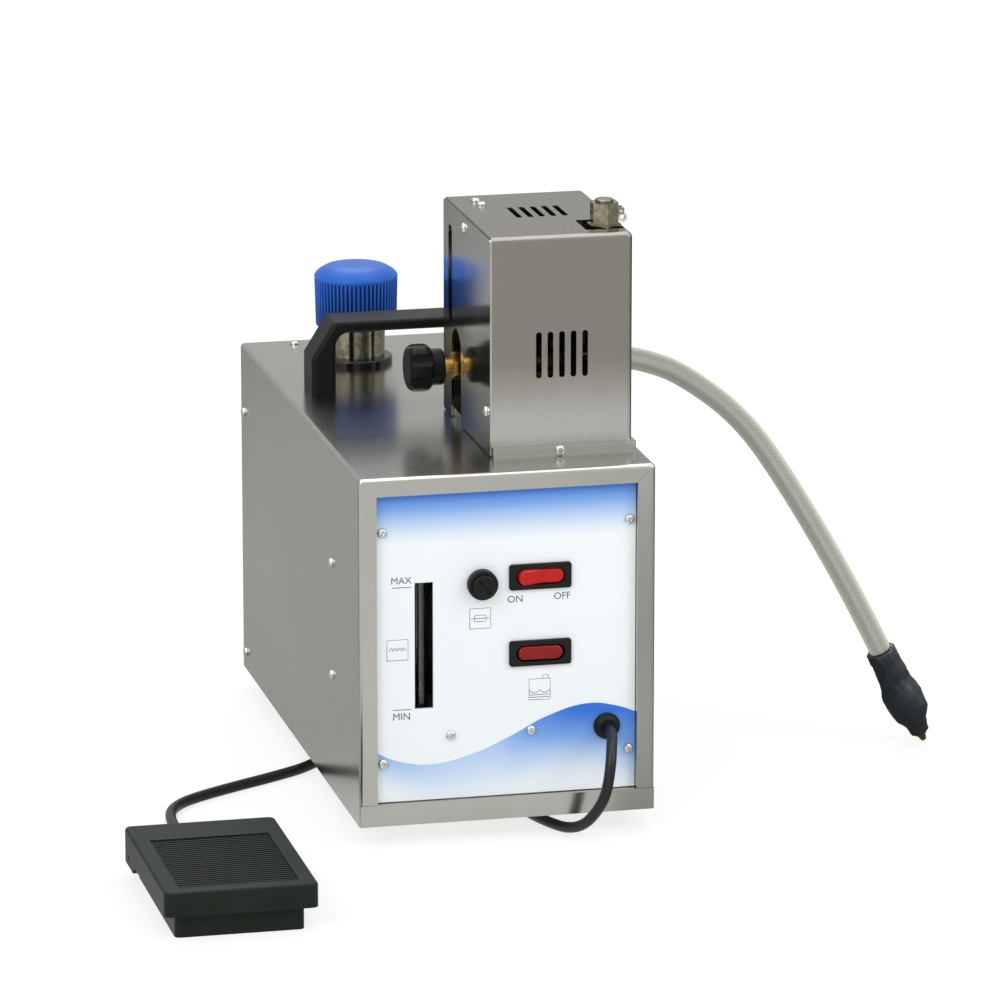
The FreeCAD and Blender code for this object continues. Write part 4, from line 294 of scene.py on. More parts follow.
rough = add_node(tree, "ShaderNodeMapRange", values={"To Min": 0.15, "To Max": 0.27},
                 links={"Value": grain.outputs["Fac"]})
bump = add_node(tree, "ShaderNodeBump", values={"Strength": 0.10, "Distance": 0.0001},
                links={"Height": grain.outputs["Fac"]})
shader = add_node(tree, "ShaderNodeBsdfPrincipled", values={"Metallic": 1.0},
                  links={"Base Color": colour.outputs["Color"], "Roughness": rough.outputs[0],
                         "Normal": bump.outputs[0]})
add_node(tree, "ShaderNodeOutputMaterial", links={"Surface": shader.outputs[0]})
print(satin_sheet.name, len(tree.nodes), "nodes")

# %% [markdown]
# ## Tower sheet
#
# The tower is folded from the same steel in a thinner gauge. Its grain runs upright on the
# front. Its upper half is painted browner and darker, a painted reflection of darker
# surroundings, which fades to plain steel near the rim. The fade follows the height and a
# soft cloud, so that no line shows where it starts.

# %% Tower sheet with a painted darker reflection on its upper half
# Heights in case millimetres over which the painted darker reflection comes in
DARK_REFLECTION_FROM_Z = 208.0
DARK_REFLECTION_FULL_Z = 262.0

tower_sheet, tree = start_material("tower_stainless_sheet")
place = add_node(tree, "ShaderNodeTexCoord").outputs["Object"]
grain_map = add_node(tree, "ShaderNodeMapping",
                     values={"Scale": (PER_METRE / GRAIN_MM, PER_METRE / GRAIN_MM,
                                       PER_METRE / GRAIN_LONG_MM)},
                     links={"Vector": place})
grain = add_node(tree, "ShaderNodeTexNoise", values={"Scale": 1.0, "Detail": 3.0, "Roughness": 0.6},
                 links={"Vector": grain_map.outputs[0]})
cloud = add_node(tree, "ShaderNodeTexNoise", values={"Scale": 14.0, "Detail": 3.0, "Roughness": 0.55},
                 links={"Vector": place})
height = add_node(tree, "ShaderNodeSeparateXYZ", links={"Vector": place})
# painted reflection: the colour turns darker and browner with height between those two heights, softened by
# a cloud
fade = add_node(tree, "ShaderNodeMapRange",
                {"interpolation_type": "SMOOTHSTEP"},
                {"From Min": at(0, 0, DARK_REFLECTION_FROM_Z)[2], "From Max": at(0, 0, DARK_REFLECTION_FULL_Z)[2]},
                {"Value": height.outputs["Z"]})
fade = add_node(tree, "ShaderNodeMath", {"operation": "MULTIPLY_ADD"},
                {1: 0.22}, {0: cloud.outputs["Fac"], 2: fade.outputs[0]})
colour = add_node(tree, "ShaderNodeValToRGB", links={"Fac": fade.outputs[0]})
set_ramp(colour, [(0.08, "#bbbcb6"), (0.45, "#a4a19b"), (0.85, "#8f8b85"), (1.0, "#89857f")])
streak = add_node(tree, "ShaderNodeMapRange", values={"To Min": 0.93, "To Max": 1.05},
                  links={"Value": grain.outputs["Fac"]})
colour = add_node(tree, "ShaderNodeVectorMath", {"operation": "SCALE"},
                  links={0: colour.outputs["Color"], "Scale": streak.outputs[0]})
rough = add_node(tree, "ShaderNodeMapRange", values={"To Min": 0.20, "To Max": 0.32},
                 links={"Value": grain.outputs["Fac"]})
bump = add_node(tree, "ShaderNodeBump", values={"Strength": 0.10, "Distance": 0.0001},
                links={"Height": grain.outputs["Fac"]})
shader = add_node(tree, "ShaderNodeBsdfPrincipled", values={"Metallic": 1.0},
                  links={"Base Color": colour.outputs[0], "Roughness": rough.outputs[0],
                         "Normal": bump.outputs[0]})
add_node(tree, "ShaderNodeOutputMaterial", links={"Surface": shader.outputs[0]})
print(tower_sheet.name, len(tree.nodes), "nodes")

# %% [markdown]
# ## Polished plate, bright screws and nickel
#
# The tower's left plate is polished like a mirror and shows the cap and the handle. The screws
# are nickel-plated steel, brighter and a touch warmer, with a faint cloud of fingerprints in
# the roughness. The relief valve and the tank's neck are turned brass under nickel: the same
# mirror, but yellower.

# %% Polished metals
def polished_metal(name, darker, brighter, low, high, blot_mm):
    """A bright metal whose colour and roughness vary a little in soft blots."""
    material, tree = start_material(name)
    place = add_node(tree, "ShaderNodeTexCoord").outputs["Object"]
    blots = add_node(tree, "ShaderNodeTexNoise",
                     values={"Scale": PER_METRE / blot_mm, "Detail": 4.0, "Roughness": 0.6},
                     links={"Vector": place})
    colour = add_node(tree, "ShaderNodeValToRGB", links={"Fac": blots.outputs["Fac"]})
    set_ramp(colour, [(0.3, darker), (0.7, brighter)])
    rough = add_node(tree, "ShaderNodeMapRange", values={"To Min": low, "To Max": high},
                     links={"Value": blots.outputs["Fac"]})
    shader = add_node(tree, "ShaderNodeBsdfPrincipled", values={"Metallic": 1.0},
                      links={"Base Color": colour.outputs["Color"], "Roughness": rough.outputs[0]})
    add_node(tree, "ShaderNodeOutputMaterial", links={"Surface": shader.outputs[0]})
    return material


mirror_plate = polished_metal("mirror_polished_stainless", "#a5a69f", "#b5b6b0", 0.08, 0.17, 30.0)
bright_screw = polished_metal("nickel_plated_screw_steel", "#b9b9b4", "#e2e1dc", 0.07, 0.20, 2.0)
nickel_brass = polished_metal("nickel_plated_brass", "#6f6a58", "#a39d89", 0.08, 0.22, 3.0)
boiler_steel = polished_metal("drawn_boiler_steel", "#8d8d88", "#b0b0ab", 0.25, 0.42, 12.0)
brass = polished_metal("turned_brass", "#8f6f38", "#c39a52", 0.16, 0.34, 3.0)
print("metals:", len(bpy.data.materials))

# %% [markdown]
# ## Printed front
#
# The front is a metal panel with a printed film: white, a blue band that fades down from its
# top edge, and a blue wave at the bottom that is strongest along its crest and fades down to
# pale. The print is a matter of places, so the shader turns its Object coordinates into the
# case's millimetres first. One curve gives the crest's height from left to right, and a second
# one gives how strong the blue is there.

# %% Print of the front panel
PRINT_X = (-72.5, 72.5)
PRINT_TOP = 185.0
BAND_DEPTH = 29.0
WAVE_TALL = 80.0
FADE_LEFT = 20.0
FADE_RIGHT = 54.0
WAVE_CREST = [(-72.5, 40.9), (-58.0, 34.6), (-42.0, 32.4), (-20.0, 36.6), (2.0, 45.4),
              (24.0, 56.0), (46.8, 61.4), (60.0, 59.5), (72.5, 55.0)]
WAVE_BLUE = [(-72.5, 0.62), (-55.0, 0.42), (-15.0, 0.34), (8.0, 0.60), (26.0, 0.86),
             (45.0, 1.0), (72.5, 0.86)]


def set_curve(node, places, full_height):
    """Shapes a curve node from (x in mm, height) places across the panel."""
    points = node.mapping.curves[0].points
    while len(points) < len(places):
        points.new(0.5, 0.5)
    width = PRINT_X[1] - PRINT_X[0]
    for point, (x, height) in zip(points, places):
        point.location = ((x - PRINT_X[0]) / width, height / full_height)
    node.mapping.update()


print("print fades over", BAND_DEPTH, "mm at the top")

# %% Places on the film in millimetres
panel_print, tree = start_material("printed_film_on_panel")
place = add_node(tree, "ShaderNodeTexCoord").outputs["Object"]
in_mm = add_node(tree, "ShaderNodeMapping",
                 values={"Scale": (PER_METRE,) * 3, "Location": tuple(-ORIGIN)},
                 links={"Vector": place})
spot = add_node(tree, "ShaderNodeSeparateXYZ", links={"Vector": in_mm.outputs[0]})
across = add_node(tree, "ShaderNodeMapRange", values={"From Min": PRINT_X[0], "From Max": PRINT_X[1]},
                  links={"Value": spot.outputs["X"]})
print("the film is", PRINT_X[1] - PRINT_X[0], "mm wide")

# %% The wave
EDGE_SOFT_MM = 0.15

crest = add_node(tree, "ShaderNodeFloatCurve", links={"Value": across.outputs[0]})
set_curve(crest, WAVE_CREST, WAVE_TALL)
crest_mm = add_node(tree, "ShaderNodeMath", {"operation": "MULTIPLY"}, {1: WAVE_TALL},
                    {0: crest.outputs[0]})
blue = add_node(tree, "ShaderNodeFloatCurve", links={"Value": across.outputs[0]})
set_curve(blue, WAVE_BLUE, 1.0)
deep = add_node(tree, "ShaderNodeMath", {"operation": "SUBTRACT"}, {},
                {0: crest_mm.outputs[0], 1: spot.outputs["Z"]})
in_wave = add_node(tree, "ShaderNodeMapRange", values={"From Min": -EDGE_SOFT_MM, "From Max": EDGE_SOFT_MM},
                   links={"Value": deep.outputs[0]})
reach = add_node(tree, "ShaderNodeMapRange", values={"To Min": FADE_LEFT, "To Max": FADE_RIGHT},
                 links={"Value": across.outputs[0]})
wave_fade = add_node(tree, "ShaderNodeMapRange", {"interpolation_type": "SMOOTHSTEP"},
                     {"From Min": -6.0, "To Min": 1.08, "To Max": 0.0},
                     {"Value": deep.outputs[0], "From Max": reach.outputs[0]})
wave = add_node(tree, "ShaderNodeMath", {"operation": "MULTIPLY"}, {},
                {0: wave_fade.outputs[0], 1: blue.outputs[0]})
wave = add_node(tree, "ShaderNodeMath", {"operation": "MULTIPLY", "use_clamp": True}, {},
                {0: wave.outputs[0], 1: in_wave.outputs[0]})
print("wave crest points:", len(WAVE_CREST))

# %% The band and the ink
band = add_node(tree, "ShaderNodeMapRange",
                values={"From Min": PRINT_TOP - BAND_DEPTH, "From Max": PRINT_TOP + 1.0},
                links={"Value": spot.outputs["Z"]})
band = add_node(tree, "ShaderNodeMath", {"operation": "POWER"}, {1: 1.25}, {0: band.outputs[0]})
ink = add_node(tree, "ShaderNodeMath", {"operation": "MAXIMUM"}, {},
               {0: wave.outputs[0], 1: band.outputs[0]})
speck = add_node(tree, "ShaderNodeTexNoise", values={"Scale": 900.0, "Detail": 2.0},
                 links={"Vector": place})
soft = add_node(tree, "ShaderNodeMath", {"operation": "MULTIPLY_ADD"}, {1: 0.03},
                {0: speck.outputs["Fac"], 2: ink.outputs[0]})
colour = add_node(tree, "ShaderNodeValToRGB", links={"Fac": soft.outputs[0]})
set_ramp(colour, [(0.015, "#f5fafd"), (0.30, "#c4daf6"), (0.62, "#7dabec"), (1.0, "#3575dd")])
peel = add_node(tree, "ShaderNodeBump", values={"Strength": 0.05, "Distance": 0.0001},
                links={"Height": speck.outputs["Fac"]})
shader = add_node(tree, "ShaderNodeBsdfPrincipled", values={"Roughness": 0.38, "Specular IOR Level": 0.3},
                  links={"Base Color": colour.outputs["Color"], "Normal": peel.outputs[0]})
add_node(tree, "ShaderNodeOutputMaterial", links={"Surface": shader.outputs[0]})
print(panel_print.name, len(tree.nodes), "nodes")

# %% [markdown]
# ## Moulded plastics and rubber
#
# Moulded parts carry the spark-eroded grain of their mould: tiny dimples that scatter light.
# They share one recipe with different colours, grain sizes and gloss. The handle is glass-filled
# nylon, the bezels ABS and the knob a phenolic, and the grommet, feet and gasket are rubber,
# duller and with a coarser bloom.

# %% Moulded materials
def moulded(name, code, darker, grain_mm, gloss, shine=0.15, depth=0.10):
    """A moulded plastic or rubber with mould grain, a faint cloud and its own gloss."""
    material, tree = start_material(name)
    place = add_node(tree, "ShaderNodeTexCoord").outputs["Object"]
    dimples = add_node(tree, "ShaderNodeTexNoise",
                       values={"Scale": PER_METRE / grain_mm, "Detail": 3.0, "Roughness": 0.55},
                       links={"Vector": place})
    cloud = add_node(tree, "ShaderNodeTexNoise", values={"Scale": 45.0, "Detail": 2.0},
                     links={"Vector": place})
    colour = add_node(tree, "ShaderNodeValToRGB", links={"Fac": cloud.outputs["Fac"]})
    set_ramp(colour, [(0.25, darker), (0.75, code)])
    rough = add_node(tree, "ShaderNodeMapRange", values={"To Min": gloss - 0.07, "To Max": gloss + 0.07},
                     links={"Value": dimples.outputs["Fac"]})
    bump = add_node(tree, "ShaderNodeBump", values={"Strength": depth, "Distance": 0.0003},
                    links={"Height": dimples.outputs["Fac"]})
    shader = add_node(tree, "ShaderNodeBsdfPrincipled", values={"Specular IOR Level": shine},
                      links={"Base Color": colour.outputs["Color"], "Roughness": rough.outputs[0],
                             "Normal": bump.outputs[0]})
    add_node(tree, "ShaderNodeOutputMaterial", links={"Surface": shader.outputs[0]})
    return material


nylon_black = moulded("glass_filled_nylon_black", "#111413", "#0d0f0e", 0.9, 0.44, 0.16)
abs_black = moulded("abs_black_textured", "#1a1f1d", "#151917", 0.7, 0.42, 0.16)
phenolic_black = moulded("phenolic_black", "#0c0d0d", "#090a0a", 1.2, 0.36, 0.14)
pedal_black = moulded("pedal_abs_dark_green_black", "#1d251e", "#171e18", 0.8, 0.46, 0.13)
rubber_black = moulded("nitrile_rubber_black", "#131515", "#0e0f0f", 1.4, 0.50, 0.20)
cord_black = moulded("pvc_cord_black", "#141716", "#101211", 2.2, 0.34, 0.35, 0.05)
gasket_black = moulded("silicone_gasket_black", "#0b0c0c", "#070808", 2.0, 0.18, 0.45, 0.04)
tank_white = moulded("natural_polyethylene", "#d6d6cc", "#cacabd", 3.0, 0.45)
coil_resin = moulded("coil_resin_black", "#1c1c20", "#141418", 1.5, 0.40)
terminal_cream = moulded("terminal_nylon_cream", "#c9c3a8", "#b8b296", 1.0, 0.48)
rocker_red = moulded("polycarbonate_red", "#cf2018", "#b51611", 3.0, 0.18, 0.30, 0.02)
print("plastics ready")

# %% [markdown]
# ## Blue cap
#
# The cap is blue polypropylene with a waxy sheen. Painted shade fills the grooves between its
# ribs and makes the skirt look much darker than the dome, with fine light lines on the ridges.
# The shader finds a groove by its distance from the cap's axis, below the shoulder only.

# %% Cap plastic with painted shade in its grooves
CAP_X, CAP_Y = -26.0, 275.0
CAP_R = 24.0
SHOULDER_Z = 244.2
SHOULDER_SOFT = 0.4
GROOVE_IN = 1.5
RIDGE_IN = 0.3

cap_blue, tree = start_material("polypropylene_blue")
place = add_node(tree, "ShaderNodeTexCoord").outputs["Object"]
cap_axis = ORIGIN + Vector((CAP_X, CAP_Y, 0))
in_mm = add_node(tree, "ShaderNodeMapping",
                 values={"Scale": (PER_METRE,) * 3, "Location": tuple(-cap_axis)},
                 links={"Vector": place})
spot = add_node(tree, "ShaderNodeSeparateXYZ", links={"Vector": in_mm.outputs[0]})
flat = add_node(tree, "ShaderNodeCombineXYZ", links={"X": spot.outputs["X"], "Y": spot.outputs["Y"]})
reach = add_node(tree, "ShaderNodeVectorMath", {"operation": "LENGTH"}, {}, {0: flat.outputs[0]})
# painted shade: darker the deeper a point lies in a groove, found by its distance from the axis
groove_shade_mask = add_node(tree, "ShaderNodeMapRange",
               values={"From Min": CAP_R - GROOVE_IN, "From Max": CAP_R - RIDGE_IN},
               links={"Value": reach.outputs["Value"]})
dome = add_node(tree, "ShaderNodeMapRange",
                values={"From Min": SHOULDER_Z - SHOULDER_SOFT, "From Max": SHOULDER_Z + SHOULDER_SOFT},
                links={"Value": spot.outputs["Z"]})
shade = add_node(tree, "ShaderNodeMath", {"operation": "MAXIMUM"}, {},
                 {0: groove_shade_mask.outputs[0], 1: dome.outputs[0]})
dimples = add_node(tree, "ShaderNodeTexNoise", values={"Scale": PER_METRE, "Detail": 3.0},
                   links={"Vector": place})
# the ramp runs from the painted groove shade to the plain blue of the ridges and the dome
colour = add_node(tree, "ShaderNodeValToRGB", links={"Fac": shade.outputs[0]})
set_ramp(colour, [(0.0, "#0b2148"), (0.55, "#184a9c"), (1.0, "#2468cf")])
bump = add_node(tree, "ShaderNodeBump", values={"Strength": 0.1, "Distance": 0.0003},
                links={"Height": dimples.outputs["Fac"]})
shader = add_node(tree, "ShaderNodeBsdfPrincipled", values={"Roughness": 0.36, "Specular IOR Level": 0.28},
                  links={"Base Color": colour.outputs["Color"], "Normal": bump.outputs[0]})
add_node(tree, "ShaderNodeOutputMaterial", links={"Surface": shader.outputs[0]})
print(cap_blue.name, len(tree.nodes), "nodes")

# %% [markdown]
# ## Clear and red transparent parts
#
# The lamp's lens is transparent red with the dark neon lamp behind it, so it looks deep red.
# The gauge tube and the fuse are thin clear glass. Glass needs little more than its refraction
# and a hint of colour; a few soft blots in the roughness are the water marks that it gets.

# %% Lens and glass
def clear_part(name, code, blot_mm, transmission, gloss):
    """A transparent part with water marks in its gloss."""
    material, tree = start_material(name)
    place = add_node(tree, "ShaderNodeTexCoord").outputs["Object"]
    blots = add_node(tree, "ShaderNodeTexNoise", values={"Scale": PER_METRE / blot_mm, "Detail": 2.0},
                     links={"Vector": place})
    rough = add_node(tree, "ShaderNodeMapRange", values={"To Min": gloss, "To Max": gloss + 0.10},
                     links={"Value": blots.outputs["Fac"]})
    shader = add_node(tree, "ShaderNodeBsdfPrincipled",
                      values={"Base Color": srgb(code), "Transmission Weight": transmission,
                              "IOR": 1.45, "Specular IOR Level": 0.3},
                      links={"Roughness": rough.outputs[0]})
    add_node(tree, "ShaderNodeOutputMaterial", links={"Surface": shader.outputs[0]})
    return material


lens_red = clear_part("acrylic_lens_red", "#8e110f", 6.0, 0.12, 0.10)
gauge_glass = clear_part("borosilicate_gauge_glass", "#e6eeee", 8.0, 1.0, 0.02)
fuse_glass = clear_part("fuse_glass", "#e9efee", 3.0, 1.0, 0.03)
print("clear parts ready")

# %% [markdown]
# ## Braided hose
#
# The hose is milky silicone over a glass-fibre braid: two families of threads wind round it in
# opposite directions and cross. A curve carries its own UV map, with one direction along the
# hose and one round it, so two diagonal waves in those coordinates give the threads. The real
# threads are about 1 mm apart; they are drawn about twice as coarse so that they show.
#
# The wall of such a hose is milky and partly clear. Its colour is painted by how edge-on the
# surface is: light along the middle, painted shade in a darker band on both sides of that,
# and a painted creamy highlight at the edges. Layer Weight gives how edge-on the surface is.

# %% Threads of the braid
HOSE_LONG_MM = 260.9
THREAD_STEP_MM = 2.4
THREADS_ROUND = 12.0
THREADS_ALONG = HOSE_LONG_MM / THREAD_STEP_MM

hose_silicone, tree = start_material("silicone_over_glass_braid")
uv = add_node(tree, "ShaderNodeTexCoord").outputs["UV"]
runs = add_node(tree, "ShaderNodeSeparateXYZ", links={"Vector": uv})
along = add_node(tree, "ShaderNodeMath", {"operation": "MULTIPLY"}, {1: THREADS_ALONG * 2 * math.pi},
                 {0: runs.outputs["X"]})
round_it = add_node(tree, "ShaderNodeMath", {"operation": "MULTIPLY"}, {1: THREADS_ROUND * 2 * math.pi},
                    {0: runs.outputs["Y"]})
one_way = add_node(tree, "ShaderNodeMath", {"operation": "ADD"}, {},
                   {0: along.outputs[0], 1: round_it.outputs[0]})
other_way = add_node(tree, "ShaderNodeMath", {"operation": "SUBTRACT"}, {},
                     {0: along.outputs[0], 1: round_it.outputs[0]})
threads = [add_node(tree, "ShaderNodeMath", {"operation": "COSINE"}, {}, {0: way.outputs[0]})
           for way in (one_way, other_way)]
braid = add_node(tree, "ShaderNodeMath", {"operation": "MAXIMUM"}, {},
                 {0: threads[0].outputs[0], 1: threads[1].outputs[0]})
braid = add_node(tree, "ShaderNodeMapRange", values={"From Min": 0.2, "From Max": 1.0},
                 links={"Value": braid.outputs[0]})
print("threads along the hose:", round(THREADS_ALONG))

# %% Silicone over the threads
milk = add_node(tree, "ShaderNodeTexNoise", values={"Scale": 60.0, "Detail": 2.0},
                links={"Vector": add_node(tree, "ShaderNodeTexCoord").outputs["Object"]})
tone = add_node(tree, "ShaderNodeMath", {"operation": "MULTIPLY_ADD", "use_clamp": True}, {1: 0.30},
                {0: milk.outputs["Fac"], 2: braid.outputs[0]})
# painted light and shade on the tube, set by how edge-on the surface is
painted_band_facing = add_node(tree, "ShaderNodeLayerWeight", values={"Blend": 0.5})
colour = add_node(tree, "ShaderNodeValToRGB", links={"Fac": painted_band_facing.outputs["Facing"]})
set_ramp(colour, [(0.0, "#d6d8ce"), (0.03, "#c8cac0"), (0.12, "#a3a69c"), (0.28, "#aeb0a4"),
                  (0.50, "#d2d0bd"), (0.75, "#f0eedc")])
thread_tone = add_node(tree, "ShaderNodeMapRange", values={"To Min": 0.95, "To Max": 1.07},
                       links={"Value": tone.outputs[0]})
colour = add_node(tree, "ShaderNodeVectorMath", {"operation": "SCALE"},
                  links={0: colour.outputs["Color"], "Scale": thread_tone.outputs[0]})
bump = add_node(tree, "ShaderNodeBump", values={"Strength": 0.15, "Distance": 0.0003},
                links={"Height": braid.outputs[0]})
shader = add_node(tree, "ShaderNodeBsdfPrincipled",
                  values={"Roughness": 0.26, "IOR": 1.41, "Transmission Weight": 0.06,
                          "Subsurface Weight": 0.25, "Subsurface Radius": (0.006, 0.006, 0.005),
                          "Subsurface Scale": 0.5, "Sheen Weight": 0.3},
                  links={"Base Color": colour.outputs[0], "Normal": bump.outputs[0]})
add_node(tree, "ShaderNodeOutputMaterial", links={"Surface": shader.outputs[0]})
print(hose_silicone.name, len(tree.nodes), "nodes")

# %% [markdown]
# ## Shrink sleeve
#
# The grip at the hose's end is heat-shrink tube pulled over the joint. It is thin polyolefin
# that has drawn tight in some places and wrinkled in others, with a semi-gloss surface. The
# large folds are modelled further down; the fine creases that run round it are a bump.

# %% Heat-shrink tube
shrink_black, tree = start_material("heat_shrink_polyolefin_black")
place = add_node(tree, "ShaderNodeTexCoord").outputs["Object"]
creases = add_node(tree, "ShaderNodeTexNoise",
                   values={"Scale": 260.0, "Detail": 4.0, "Roughness": 0.6, "Distortion": 0.8},
                   links={"Vector": place})
colour = add_node(tree, "ShaderNodeValToRGB", links={"Fac": creases.outputs["Fac"]})
set_ramp(colour, [(0.3, "#141b1f"), (0.7, "#232c30")])
rough = add_node(tree, "ShaderNodeMapRange", values={"To Min": 0.22, "To Max": 0.42},
                 links={"Value": creases.outputs["Fac"]})
bump = add_node(tree, "ShaderNodeBump", values={"Strength": 0.45, "Distance": 0.0006},
                links={"Height": creases.outputs["Fac"]})
shader = add_node(tree, "ShaderNodeBsdfPrincipled", values={"Specular IOR Level": 0.45},
                  links={"Base Color": colour.outputs["Color"], "Roughness": rough.outputs[0],
                         "Normal": bump.outputs[0]})
add_node(tree, "ShaderNodeOutputMaterial", links={"Surface": shader.outputs[0]})
print(shrink_black.name, len(tree.nodes), "nodes")

# %% [markdown]
# ## Dressing the solids
#
# Every solid now gets its finish. The frame's meshes stay as they are and only their material
# slots change.

# %% Finishes of the frame's own solids
FINISH = {
    satin_sheet: ["case_shell", "base_tray", "rear_panel", "side_bracket"],
    tower_sheet: ["tower_cover", "tower_base"],
    mirror_plate: ["tower_side"],
    bright_screw: ["case_screws", "panel_screws", "tower_screws", "handle_bolts", "valve_spindle",
                   "solenoid_plunger", "relief_lever", "pedal_pin", "pedal_spring"],
    nickel_brass: ["relief_valve", "relief_stem", "filler_neck", "hose_fitting"],
    panel_print: ["front_panel"],
    abs_black: ["switch_bezel", "lamp_bezel", "fuse_holder", "fuse_cap", "mains_inlet"],
    nylon_black: ["carry_handle", "pressure_switch", "pedal_switch", "pedal_button"],
    phenolic_black: ["valve_knob"],
    coil_resin: ["solenoid_coil"],
    terminal_cream: ["terminal_block"],
    pedal_black: ["pedal_base", "pedal_plate"],
    rubber_black: ["rubber_feet", "cord_grommet", "cap_seal", "pedal_gland"],
    gasket_black: ["neck_gasket"],
    rocker_red: ["switch_rocker"],
    lens_red: ["lamp_lens"],
    fuse_glass: ["fuse_link"],
    gauge_glass: ["level_tube"],
    cap_blue: ["filler_cap"],
    tank_white: ["water_tank"],
    brass: ["level_fittings", "steam_valve", "packing_nut", "feed_pipes", "nozzle_tip"],
    boiler_steel: ["boiler_vessel", "heating_element", "feed_pump"],
    hose_silicone: ["steam_hose"],
    shrink_black: ["hose_sleeve"],
    cord_black: ["cord_front", "cord_coil", "cord_rear"],
}
for finish, names in FINISH.items():
    for name in names:
        solid = nodes[name]
        if not solid.material_slots:
            solid.data.materials.append(finish)
        for material_slot in solid.material_slots:
            material_slot.material = finish
print("dressed:", sum(len(names) for names in FINISH.values()), "of", len(nodes))

# %% [markdown]
# ## Where each new piece belongs
#
# A new piece rides on the body that carries it, takes the finish it is given, and may stand in
# for a plain solid. One function does these three.

# %% Joining a piece to the object
def settle(piece, body, finish, stands_for=()):
    """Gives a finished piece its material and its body."""
    piece.data.materials.clear()
    piece.data.materials.append(finish)
    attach(piece, body)
    if stands_for:
        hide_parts(*stands_for)
    return piece


settle(steam_hose, "machine", hose_silicone, ["steam_hose"])
settle(pedal_cord, "machine", cord_black, ["cord_front", "cord_coil", "cord_rear"])
print("hose and cord settled")

# %% [markdown]
# ## Turned and moulded round pieces
#
# Many small parts are round. The quickest way to a clean round piece is a disc that is
# extruded along its axis again and again and resized at each step, which is turning on a lathe
# seen from the other side. The outline is a short list of distances and radii in millimetres.

# %% Turning a profile
def turn_piece(name, outline, sides):
    """A closed round piece on Z from (distance, radius) steps, left in edit mode's last shape."""
    bpy.ops.object.select_all(action="DESELECT")
    far, radius = outline[0]
    bpy.ops.mesh.primitive_circle_add(vertices=sides, radius=radius * MM, fill_type="NGON",
                                      location=(0, 0, 0))
    piece = bpy.context.object
    piece.name = name
    piece.data.name = name
    bpy.ops.object.mode_set(mode="EDIT")
    bpy.ops.mesh.select_all(action="SELECT")
    bpy.ops.transform.translate(value=(0, 0, far * MM))
    for next_far, next_radius in outline[1:]:
        rise = (next_far - far) * MM
        bpy.ops.mesh.extrude_region_move(TRANSFORM_OT_translate={"value": (0, 0, rise)})
        scale = next_radius / radius
        bpy.ops.transform.resize(value=(scale, scale, 1), center_override=(0, 0, next_far * MM))
        far, radius = next_far, next_radius
    bpy.ops.mesh.select_all(action="SELECT")
    bpy.ops.mesh.normals_make_consistent(inside=False)
    bpy.ops.object.mode_set(mode="OBJECT")
    return piece


print("lathe ready")


# %% Placing, shading and applying
def put(piece, place, way=(0, 0, 1)):
    """Moves a piece made on Z to its place, with Z turned to the given way, in its mesh."""
    turn = Vector((0, 0, 1)).rotation_difference(Vector(way)).to_matrix().to_4x4()
    piece.data.transform(Matrix.Translation(place) @ turn)
    return piece


def smooth(piece, degrees=35.0):
    """Smooth shading that keeps edges sharper than the given angle."""
    bpy.ops.object.select_all(action="DESELECT")
    piece.select_set(True)
    bpy.context.view_layer.objects.active = piece
    bpy.ops.object.shade_smooth_by_angle(angle=math.radians(degrees))
    return piece


def apply_modifiers(piece):
    """Applies every modifier of a piece, in order."""
    bpy.ops.object.select_all(action="DESELECT")
    piece.select_set(True)
    bpy.context.view_layer.objects.active = piece
    for modifier in list(piece.modifiers):
        bpy.ops.object.modifier_apply(modifier=modifier.name)
    return piece


print("finishing helpers ready")

# %% [markdown]
# ## Pan-head screws
#
# The sheet parts are held by M3 pan-head screws with a cross recess. One screw is turned, then
# a tapered cross is cut into its head with a Boolean, and all the others are copies with their
# own mesh, each turned a little further, because no fitter leaves all crosses in line.

# %% One screw with its cross
HEAD_R = 2.75
HEAD_TALL = 1.8
SHANK_R = 1.5
SHANK_LONG = 6.0
CROSS_LONG = 3.4
CROSS_WIDE = 0.95
CROSS_DEEP = 1.3

RIM_TALL = 0.12
head_arc = []
for degrees in (12, 25, 40, 55, 68, 78):
    lean = math.radians(degrees)
    head_arc.append((RIM_TALL + HEAD_TALL * math.sin(lean) * 0.93,
                     HEAD_R * (0.30 + 0.70 * math.cos(lean) ** 0.55)))
shank = [(-SHANK_LONG, SHANK_R - 0.3), (-SHANK_LONG + 0.3, SHANK_R), (0.0, SHANK_R),
         (0.0001, HEAD_R - 0.15), (RIM_TALL, HEAD_R)]
pattern_screw = turn_piece("pattern_screw", shank + head_arc, 40)
print("screw outline points:", len(shank) + len(head_arc))

# %% Cutting the cross
bpy.ops.object.select_all(action="DESELECT")
cutters = []
for turn in (0.0, 90.0):
    bpy.ops.mesh.primitive_cube_add(size=1.0, location=(0, 0, HEAD_TALL * MM))
    cutter = bpy.context.object
    cutter.data.transform(Matrix.Rotation(math.radians(turn), 4, "Z")
                          @ Matrix.Diagonal((CROSS_LONG * MM, CROSS_WIDE * MM, 2 * CROSS_DEEP * MM, 1)))
    bpy.ops.object.mode_set(mode="EDIT")
    bpy.ops.mesh.select_all(action="DESELECT")
    bpy.ops.object.mode_set(mode="OBJECT")
    for vertex in cutter.data.vertices:
        vertex.select = vertex.co.z < 0
    bpy.ops.object.mode_set(mode="EDIT")
    bpy.ops.transform.resize(value=(0.55, 0.55, 1), center_override=(0, 0, HEAD_TALL * MM))
    bpy.ops.object.mode_set(mode="OBJECT")
    cutter.data.transform(Matrix.Translation(cutter.location))
    cutter.location = (0, 0, 0)
    cutters.append(cutter)
